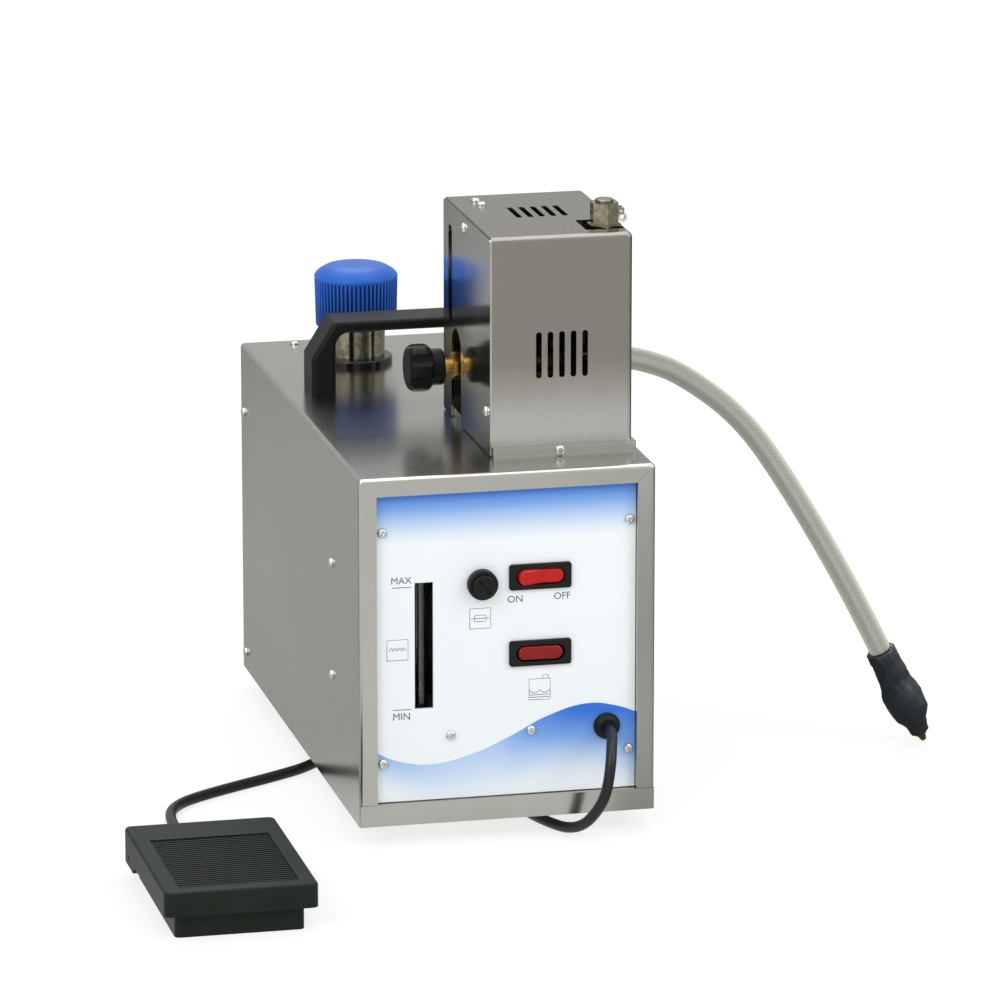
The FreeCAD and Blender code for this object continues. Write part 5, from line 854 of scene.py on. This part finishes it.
for number, cutter in enumerate(cutters):
    cut = pattern_screw.modifiers.new(f"cross_{number}", "BOOLEAN")
    cut.operation = "DIFFERENCE"
    cut.solver = "EXACT"
    cut.object = cutter
apply_modifiers(pattern_screw)
for cutter in cutters:
    bpy.data.objects.remove(cutter)
smooth(pattern_screw, 30.0)
print("screw faces:", len(pattern_screw.data.polygons))

# %% All the screws
CASE_HALF = 82.5
CASE_TOP = 195.0
TOWER_TOP = 316.5
PANEL_FACE = 4.0
SCREW_SETS = {
    "panel_screws": [((side * 68.7, PANEL_FACE, z), (0, -1, 0)) for side in (-1, 1) for z in (34.3, 164.0)]
    + [((x, PANEL_FACE, 48.2), (0, -1, 0)) for x in (-31.0, 14.0)],
    "case_screws": [((side * CASE_HALF, y, z), (side, 0, 0)) for side in (-1, 1)
                    for y, z in ((73.0, 66.7), (73.0, 130.6), (324.8, 10.6), (324.8, 155.8))]
    + [((side * 52.3, 324.8, CASE_TOP), (0, 0, 1)) for side in (-1, 1)],
    "tower_screws": [((-2.1, 42.5, 219.0), (-1, 0, 0)), ((-2.1, 97.4, 309.5), (-1, 0, 0)),
                     ((-2.1, 143.5, 219.0), (-1, 0, 0)), ((12.2, 133.0, TOWER_TOP), (0, 0, 1)),
                     ((13.3, 123.0, TOWER_TOP), (0, 0, 1)), ((36.2, 30.6, 198.0), (0, -1, 0))],
}
GOLDEN_TURN = 137.5
placed = 0
for node_name, spots in SCREW_SETS.items():
    for number, (spot, way) in enumerate(spots):
        screw = bpy.data.objects.new(f"{node_name}_{number}", pattern_screw.data.copy())
        bpy.context.scene.collection.objects.link(screw)
        screw.data.transform(Matrix.Rotation(math.radians(GOLDEN_TURN * placed), 4, "Z"))
        put(screw, at(*spot), way)
        settle(screw, "machine", bright_screw, [node_name])
        placed += 1
bpy.data.objects.remove(pattern_screw)
print("screws placed:", placed)

# %% [markdown]
# ## Filler cap
#
# The blue cap is a large screw cap for a bottle-like tank: sixty fine ribs for the grip, a
# smooth shoulder that overhangs them a little, and a shallow dome. The skirt is turned with
# four edges to each rib, and every other pair of edges is then pulled in, which leaves the ribs
# standing.

# %% Cap
CAP_LOW = 216.8
CAP_RIBS = 60
CAP_RIB_DEEP = 1.15
CAP_BORE_R = 16.75
CAP_BORE_TOP = 240.5

cap = turn_piece("filler_cap_moulded",
                 [(CAP_BORE_TOP - CAP_LOW, 0.4), (CAP_BORE_TOP - CAP_LOW, CAP_BORE_R), (0.6, CAP_BORE_R),
                  (0.0, CAP_BORE_R + 0.6), (0.0, CAP_R - 1.7), (0.5, CAP_R - 0.9), (1.2, CAP_R - 0.75),
                  (10.0, CAP_R - 0.5), (20.0, CAP_R - 0.25), (27.0, CAP_R - 0.05), (27.5, CAP_R - 0.45),
                  (28.1, CAP_R - 0.15), (28.7, CAP_R), (29.6, CAP_R - 0.2), (30.8, CAP_R - 1.0),
                  (32.2, CAP_R - 2.6), (33.4, CAP_R - 4.6), (34.4, CAP_R - 6.6), (34.7, CAP_R - 7.6),
                  (34.75, CAP_R - 9.0), (35.2, CAP_R - 9.8), (35.7, CAP_R - 13.5), (36.0, 5.0),
                  (36.1, 0.4)],
                 CAP_RIBS * 4)
print("cap outline turned with", CAP_RIBS * 4, "sides")

# %% Ribs of the cap
RIB_TURN = 360.0 / CAP_RIBS
for vertex in cap.data.vertices:
    reach = math.hypot(vertex.co.x, vertex.co.y)
    turn = math.degrees(math.atan2(vertex.co.y, vertex.co.x)) % RIB_TURN
    on_skirt = 1.0 * MM < vertex.co.z < 27.2 * MM and reach > (CAP_R - 1.5) * MM
    vertex.select = on_skirt and (turn < 2.0 or turn > 5.0)
for edge in cap.data.edges:
    edge.select = False
for face in cap.data.polygons:
    face.select = False
bpy.context.view_layer.objects.active = cap
bpy.ops.object.mode_set(mode="EDIT")
bpy.context.tool_settings.mesh_select_mode = (True, False, False)
pull = (CAP_R - CAP_RIB_DEEP) / CAP_R
bpy.ops.transform.resize(value=(pull, pull, 1), center_override=(0, 0, 0))
bpy.ops.object.mode_set(mode="OBJECT")
put(cap, at(CAP_X, CAP_Y, CAP_LOW))
smooth(cap, 50.0)
settle(cap, "cap", cap_blue, ["filler_cap"])
print("cap faces:", len(cap.data.polygons))

# %% [markdown]
# ## Switch rocker and lamp lens
#
# The mains switch is a red rocker in a black frame, and the lamp under it is a clear red lens
# of the same outline. Both are blocks with round ends like a stadium and softly rounded rims.
# The rocker's front is folded in along its upright middle, which makes a shallow V; the lens is
# folded out a little along its level middle, which makes its front slightly domed. A cube is
# stretched and cut in two, the cut's front edge is moved, the corners are bevelled far and the
# rims a little.

# %% A folded block with round ends
ROUND_END = 0.46


def folded_block(name, size, middle_y, across, fold_by, lip, lip_segments):
    """A block with stadium ends, its front moved by fold_by along the middle of its axis across."""
    wide, deep, tall = size
    cut_way = [0, 0, 0]
    cut_way[across] = 1
    bpy.ops.object.select_all(action="DESELECT")
    bpy.ops.mesh.primitive_cube_add(size=1.0, location=(0, 0, 0))
    block = bpy.context.object
    block.name = name
    block.data.name = name
    block.data.transform(Matrix.Translation((0, middle_y * MM, 0))
                         @ Matrix.Diagonal((wide * MM, deep * MM, tall * MM, 1)))
    bpy.ops.object.mode_set(mode="EDIT")
    bpy.context.tool_settings.mesh_select_mode = (False, True, False)
    bpy.ops.mesh.select_all(action="SELECT")
    bpy.ops.mesh.bisect(plane_co=(0, 0, 0), plane_no=cut_way)
    bpy.ops.object.mode_set(mode="OBJECT")
    for vertex in block.data.vertices:
        vertex.select = abs(vertex.co[across]) < 0.1 * MM and vertex.co.y < middle_y * MM
    bpy.ops.object.mode_set(mode="EDIT")
    bpy.context.tool_settings.mesh_select_mode = (True, False, False)
    bpy.ops.transform.translate(value=(0, fold_by * MM, 0))
    bpy.ops.object.mode_set(mode="OBJECT")
    weights = block.data.attributes.new("bevel_weight_edge", "FLOAT", "EDGE")
    for edge in block.data.edges:
        first, last = (block.data.vertices[i].co for i in edge.vertices)
        runs_deep = abs(first.x - last.x) < 0.1 * MM and abs(first.z - last.z) < 0.1 * MM
        weights.data[edge.index].value = float(runs_deep and abs(first[across]) > 1 * MM)
    for title, width, segments, limit in (("ends", tall * ROUND_END, 10, "WEIGHT"),
                                          ("lip", lip, lip_segments, "ANGLE")):
        bevel = block.modifiers.new(title, "BEVEL")
        bevel.width = width * MM
        bevel.segments = segments
        bevel.limit_method = limit
        bevel.angle_limit = math.radians(50)
    apply_modifiers(block)
    smooth(block, 40.0)
    return block


print("block maker ready")

# %% Rocker
SWITCH_X, SWITCH_Z = 18.8, 135.1
ROCKER_PIVOT_Y = 6.0
ROCKER_SIZE = (26.0, 7.6, 8.7)
ROCKER_TILT = 8.0

rocker = folded_block("switch_rocker_moulded", ROCKER_SIZE, -1.6, 0, 1.9, 1.6, 6)
rocker.data.transform(Matrix.Translation(at(SWITCH_X, ROCKER_PIVOT_Y, SWITCH_Z))
                      @ Matrix.Rotation(math.radians(ROCKER_TILT), 4, "Z"))
settle(rocker, "rocker", rocker_red, ["switch_rocker"])
print("rocker faces:", len(rocker.data.polygons))

# %% Lens
LENS_SIZE = (24.8, 12.0, 7.8)
LENS_CROWN = 0.7

lens = folded_block("lamp_lens_moulded", LENS_SIZE, 0.0, 2, -LENS_CROWN, 1.2, 5)
lens_low, lens_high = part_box("lamp_lens")
lens_place = (lens_low + lens_high) / 2
lens_place.y = lens_low.y + (LENS_SIZE[1] / 2 + LENS_CROWN) * MM
put(lens, lens_place)
settle(lens, "machine", lens_red, ["lamp_lens"])
print("lens faces:", len(lens.data.polygons))

# %% [markdown]
# ## Grip of the hose
#
# The shrink sleeve starts as a turned piece: a straight grip, a swelling over the joint and a
# neck down to the nozzle. Heat makes such a sleeve draw in unevenly, so a procedural cloud
# texture pushes its surface in and out by up to a millimetre, coarsely first and then finely.
# The texture's hard kind gives creases in place of soft waves.

# %% Wrinkled sleeve
GRIP_START = Vector(HOSE_PLACES[-1])
GRIP_WAY = (GRIP_START - Vector(HOSE_PLACES[-2])).normalized()
SLEEVE = [(0.0, 7.0), (0.2, 8.9), (4.0, 9.0), (8.0, 8.9), (12.0, 8.9), (16.0, 8.9), (20.0, 9.0),
          (23.0, 9.3), (26.0, 10.3), (30.0, 11.4), (35.0, 11.6), (40.0, 11.2), (44.0, 10.3),
          (47.0, 8.6), (50.0, 6.9), (53.0, 6.0), (56.6, 5.4), (57.0, 4.8)]
sleeve = turn_piece("hose_sleeve_shrunk", SLEEVE, 48)
finer = sleeve.modifiers.new("finer", "SUBSURF")
finer.levels = 1
finer.render_levels = 1
for name, size, strength in (("draws", 0.014, 1.5), ("wrinkles", 0.0052, 0.9)):
    clouds = bpy.data.textures.new(name, "CLOUDS")
    clouds.noise_scale = size
    clouds.noise_depth = 2
    clouds.noise_type = "HARD_NOISE"
    push = sleeve.modifiers.new(name, "DISPLACE")
    push.texture = clouds
    push.strength = strength * MM
    push.mid_level = 0.36
apply_modifiers(sleeve)
put(sleeve, at(*GRIP_START), GRIP_WAY)
smooth(sleeve, 60.0)
settle(sleeve, "machine", shrink_black, ["hose_sleeve"])
print("sleeve faces:", len(sleeve.data.polygons))

# %% [markdown]
# ## Pedal spring
#
# A coil spring of steel wire lifts the tread. Its foot stands on the base and its top carries
# the tread, so it shortens when the pedal goes down. The coil is one round wire along a helix.

# %% Helix of the spring
SPRING_TURNS = 5
SPRING_WIRE_R = 0.6
POINTS_A_SPRING_TURN = 24

spring_low, spring_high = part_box("pedal_spring")
spring_place = (spring_low + spring_high) / 2
coil_r = (spring_high.x - spring_low.x) / 2 - SPRING_WIRE_R * MM
spring_foot = spring_low.z + SPRING_WIRE_R * MM
spring_rise = spring_high.z - spring_low.z - 2 * SPRING_WIRE_R * MM
wire = bpy.data.curves.new("spring_wire", "CURVE")
wire.dimensions = "3D"
wire.bevel_depth = SPRING_WIRE_R * MM
wire.bevel_resolution = 3
wire.use_fill_caps = True
run = wire.splines.new("POLY")
steps = SPRING_TURNS * POINTS_A_SPRING_TURN
run.points.add(steps)
for step, point in enumerate(run.points):
    angle = 2 * math.pi * step / POINTS_A_SPRING_TURN
    point.co = (spring_place.x + coil_r * math.cos(angle), spring_place.y + coil_r * math.sin(angle),
                spring_foot + spring_rise * step / steps, 1.0)
print("spring rises", round(spring_rise / MM, 1), "mm")

# %% Spring between base and tread
drawn_wire = bpy.data.objects.new("spring_wire", wire)
bpy.context.scene.collection.objects.link(drawn_wire)
spring = bpy.data.objects.new("pedal_spring_coil", bpy.data.meshes.new_from_object(drawn_wire))
bpy.context.scene.collection.objects.link(spring)
bpy.data.objects.remove(drawn_wire)
smooth(spring, 60.0)
spring.data.materials.clear()
spring.data.materials.append(bright_screw)
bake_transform(spring)
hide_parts("pedal_spring")
print("spring faces:", len(spring.data.polygons))

# %% [markdown]
# ## Words and signs on the front
#
# The front carries only plain words and signs: which way the switch is on, how high the water
# may stand, and what the fuse, the gauge and the lamp are for. The words are text objects and
# the signs thin strokes, made into meshes that stand a few hundredths of a millimetre on the
# film, as screen-printed ink does.

# %% Ink
ink_blue = moulded("screen_ink_blue_grey", "#4a5b86", "#3f4e76", 1.0, 0.5, 0.15, 0.02)
INK_Y = PANEL_FACE - 0.02
INK_THICK = 0.03
STAND_UP = Matrix.Rotation(math.radians(90), 4, "X")


def print_word(name, text, x, z, tall):
    """A word in ink on the panel, centred at x, z."""
    bpy.ops.object.select_all(action="DESELECT")
    bpy.ops.object.text_add(location=(0, 0, 0))
    word = bpy.context.object
    word.name = name
    word.data.body = text
    word.data.size = tall * MM
    word.data.align_x = "CENTER"
    word.data.align_y = "CENTER"
    word.data.extrude = INK_THICK / 2 * MM
    word.data.resolution_u = 4
    bpy.ops.object.convert(target="MESH")
    word = bpy.context.object
    word.data.transform(Matrix.Translation(at(x, INK_Y, z)) @ STAND_UP)
    settle(word, "machine", ink_blue)
    return word


words = [
    print_word("word_max", "MAX", -58.3, 136.6, 5.4),
    print_word("word_min", "MIN", -58.3, 60.2, 5.6),
    print_word("word_on", "ON", 5.0, 122.6, 5.6),
    print_word("word_off", "OFF", 31.2, 123.0, 5.4),
]
print("words:", [len(word.data.polygons) for word in words])

# %% Strokes of a sign
def print_sign(name, strokes, wide=0.42):
    """Thin flat strokes of ink along runs of (x, z) places on the panel."""
    curve = bpy.data.curves.new(name, "CURVE")
    curve.dimensions = "3D"
    curve.bevel_depth = wide / 2 * MM
    curve.bevel_resolution = 1
    for run in strokes:
        spline = curve.splines.new("POLY")
        spline.points.add(len(run) - 1)
        for point, (x, z) in zip(spline.points, run):
            point.co = (x * MM, z * MM, 0, 1)
    drawing = bpy.data.objects.new(name + "_drawing", curve)
    bpy.context.scene.collection.objects.link(drawing)
    mesh = bpy.data.meshes.new_from_object(drawing)
    bpy.data.objects.remove(drawing)
    sign = bpy.data.objects.new(name, mesh)
    bpy.context.scene.collection.objects.link(sign)
    flat = Matrix.Diagonal((1, 1, INK_THICK / wide, 1))
    mesh.transform(Matrix.Translation(at(0, INK_Y, 0)) @ STAND_UP @ flat)
    settle(sign, "machine", ink_blue)
    return sign


def frame_run(x0, x1, z0, z1):
    """The run round a rectangle."""
    return [(x0, z0), (x1, z0), (x1, z1), (x0, z1), (x0, z0)]


def ripple(x0, x1, z, tall, count):
    """Small waves from x0 to x1."""
    steps = count * 8
    return [(x0 + (x1 - x0) * i / steps, z + tall * abs(math.sin(math.pi * i / 8)))
            for i in range(steps + 1)]


print("stroke helpers ready")

# %% Signs
signs = [
    print_sign("line_max", [[(-63.2, 132.9), (-52.8, 132.9)]]),
    print_sign("line_min", [[(-63.2, 64.2), (-52.8, 64.2)]]),
    print_sign("sign_fuse", [frame_run(-20.3, -8.6, 107.4, 118.7), frame_run(-17.6, -11.3, 111.3, 114.8),
                             [(-19.6, 113.05), (-9.3, 113.05)]], 0.36),
    print_sign("sign_level", [frame_run(-66.3, -54.6, 92.2, 103.7),
                              ripple(-65.0, -55.9, 97.4, 1.7, 4)], 0.36),
    print_sign("sign_tank", [frame_run(12.8, 24.6, 65.2, 77.0),
                             [(20.4, 77.0), (20.4, 79.0), (23.6, 79.0), (23.6, 77.0)],
                             ripple(12.8, 24.6, 70.8, -1.8, 2),
                             [(13.2, 68.0), (24.2, 68.0)], [(13.2, 66.6), (24.2, 66.6)]], 0.36),
]
print("signs:", len(signs))

# %% [markdown]
# ## Floor and light
#
# The object stands on a pale bench in a bright studio. The floor takes the object's shadow as
# a matt white surface, and for rays that come from the camera, or by way of a mirror or glass,
# part of it glows at strength one, so that it shows white without more light on the object.
# The world does the same: white to look at, soft grey as light. In mirrors both are darker
# behind the object than in front of it, and a card stands at the right, because sheet metal
# that mirrors one even white has no form.

# %% Floor
bpy.ops.object.select_all(action="DESELECT")
FLOOR_HALF = 9.0
bpy.ops.mesh.primitive_grid_add(x_subdivisions=8, y_subdivisions=8, size=2 * FLOOR_HALF, location=(0, 0, 0))
floor = bpy.context.object
floor.name = "floor"
print("floor half width, m:", FLOOR_HALF)

# %% What mirrors see of the floor
SEEN_GLOW = 0.66
MIRROR_GLOW = 0.85
GLOW_STRENGTH = 1.15
DIM_BEHIND = 0.42
CARD_DARK = 0.48
CARD_FROM = 0.088
CARD_FULL = 0.112
CARD_LEAN = 0.23

floor_white, tree = start_material("matt_white_bench")
rays = add_node(tree, "ShaderNodeLightPath")
seen = add_node(tree, "ShaderNodeMath", {"operation": "MAXIMUM"}, {},
                {0: rays.outputs["Is Camera Ray"], 1: rays.outputs["Is Transmission Ray"]})
share = add_node(tree, "ShaderNodeMath", {"operation": "MULTIPLY"}, {1: SEEN_GLOW},
                 {0: seen.outputs[0]})
mirrored = add_node(tree, "ShaderNodeMath", {"operation": "MULTIPLY_ADD"}, {1: MIRROR_GLOW},
                    {0: rays.outputs["Is Glossy Ray"], 2: share.outputs[0]})
spot = add_node(tree, "ShaderNodeSeparateXYZ",
                links={"Vector": add_node(tree, "ShaderNodeTexCoord").outputs["Object"]})
behind = add_node(tree, "ShaderNodeMapRange", {"interpolation_type": "SMOOTHSTEP"},
                  {"From Min": -0.25, "From Max": 0.15, "To Min": 1.0, "To Max": DIM_BEHIND},
                  {"Value": spot.outputs["Y"]})
aside = add_node(tree, "ShaderNodeVectorMath", {"operation": "DOT_PRODUCT"}, {1: (1.0, CARD_LEAN, 0.0)},
                 {0: add_node(tree, "ShaderNodeTexCoord").outputs["Object"]})
card = add_node(tree, "ShaderNodeMapRange", {"interpolation_type": "SMOOTHSTEP"},
                {"From Min": CARD_FROM, "From Max": CARD_FULL, "To Max": CARD_DARK},
                {"Value": aside.outputs["Value"]})
near = add_node(tree, "ShaderNodeMapRange", {"interpolation_type": "SMOOTHSTEP"},
                {"From Min": -0.88, "From Max": -0.80}, {"Value": spot.outputs["Y"]})
card = add_node(tree, "ShaderNodeMath", {"operation": "MULTIPLY"}, {},
                {0: card.outputs[0], 1: near.outputs[0]})
mirror_level = add_node(tree, "ShaderNodeMath", {"operation": "SUBTRACT"}, {},
                        {0: behind.outputs[0], 1: card.outputs[0]})
level = add_node(tree, "ShaderNodeMix", {"data_type": "FLOAT"}, {2: GLOW_STRENGTH},
                 {0: rays.outputs["Is Glossy Ray"], 3: mirror_level.outputs[0]})
print("floor in mirrors, behind the object:", DIM_BEHIND)

# %% Floor finish
speck = add_node(tree, "ShaderNodeTexNoise", values={"Scale": 400.0},
                 links={"Vector": add_node(tree, "ShaderNodeTexCoord").outputs["Object"]})
tint = add_node(tree, "ShaderNodeValToRGB", links={"Fac": speck.outputs["Fac"]})
set_ramp(tint, [(0.0, "#f0f0ee"), (1.0, "#f6f6f4")])
matt = add_node(tree, "ShaderNodeBsdfDiffuse", links={"Color": tint.outputs["Color"]})
glow = add_node(tree, "ShaderNodeEmission", values={"Color": (1, 1, 1, 1)},
                links={"Strength": level.outputs[0]})
blend = add_node(tree, "ShaderNodeMixShader", links={0: mirrored.outputs[0], 1: matt.outputs[0],
                                                     2: glow.outputs[0]})
add_node(tree, "ShaderNodeOutputMaterial", links={"Surface": blend.outputs[0]})
floor.data.materials.append(floor_white)
print(floor_white.name, len(tree.nodes), "nodes")

# %% World
AMBIENT = 0.68
SKY_BEHIND = 0.60
SKY_OVERHEAD = 1.8
world = bpy.data.worlds.new("studio")
bpy.context.scene.world = world
world.use_nodes = True
tree = world.node_tree
tree.nodes.clear()
rays = add_node(tree, "ShaderNodeLightPath")
seen = add_node(tree, "ShaderNodeMath", {"operation": "MAXIMUM"}, {},
                {0: rays.outputs["Is Camera Ray"], 1: rays.outputs["Is Transmission Ray"]})
plain = add_node(tree, "ShaderNodeMapRange", values={"To Min": AMBIENT, "To Max": 1.0},
                 links={"Value": seen.outputs[0]})
way = add_node(tree, "ShaderNodeSeparateXYZ",
               links={"Vector": add_node(tree, "ShaderNodeTexCoord").outputs["Generated"]})
behind = add_node(tree, "ShaderNodeMapRange", {"interpolation_type": "SMOOTHSTEP"},
                  {"From Min": -0.3, "From Max": 0.6, "To Min": 1.0, "To Max": SKY_BEHIND},
                  {"Value": way.outputs["Y"]})
overhead = add_node(tree, "ShaderNodeMapRange", {"interpolation_type": "SMOOTHSTEP"},
                    {"From Min": 0.66, "From Max": 0.93, "To Min": 0.0, "To Max": SKY_OVERHEAD},
                    {"Value": way.outputs["Z"]})
room = add_node(tree, "ShaderNodeMath", {"operation": "ADD"}, {},
                {0: behind.outputs[0], 1: overhead.outputs[0]})
strength = add_node(tree, "ShaderNodeMix", {"data_type": "FLOAT"}, {},
                    {0: rays.outputs["Is Glossy Ray"], 2: plain.outputs[0], 3: room.outputs[0]})
sky = add_node(tree, "ShaderNodeBackground", values={"Color": (1, 1, 1, 1)},
               links={"Strength": strength.outputs[0]})
add_node(tree, "ShaderNodeOutputWorld", links={"Surface": sky.outputs[0]})
print("ambient light:", AMBIENT)

# %% Lamps
AIM = Vector((0, 0, 0.12))
LAMPS = {
    "softbox_left": ((-1.9, -2.0, 2.1), 1.6, 30.0),
    "softbox_right": ((1.9, -1.6, 1.6), 1.2, 14.0),
    "softbox_back": ((0.4, 2.2, 2.4), 1.4, 16.0),
}
for name, (place, size, power) in LAMPS.items():
    lamp_data = bpy.data.lights.new(name, "AREA")
    lamp_data.size = size
    lamp_data.energy = power
    lamp = bpy.data.objects.new(name, lamp_data)
    bpy.context.scene.collection.objects.link(lamp)
    lamp.location = place
    lamp.rotation_euler = (AIM - Vector(place)).to_track_quat("-Z", "Y").to_euler()
print("lamps:", len(LAMPS))

# %% [markdown]
# ## What is a cord
#
# The hose and the pedal's cord are free: they could be moved by hand.

# %% [markdown]
# ## Finish
#
# Blender changes no size. The last cell sets the standard view transform.

# %% Finish
bpy.context.scene.view_settings.view_transform = "Standard"
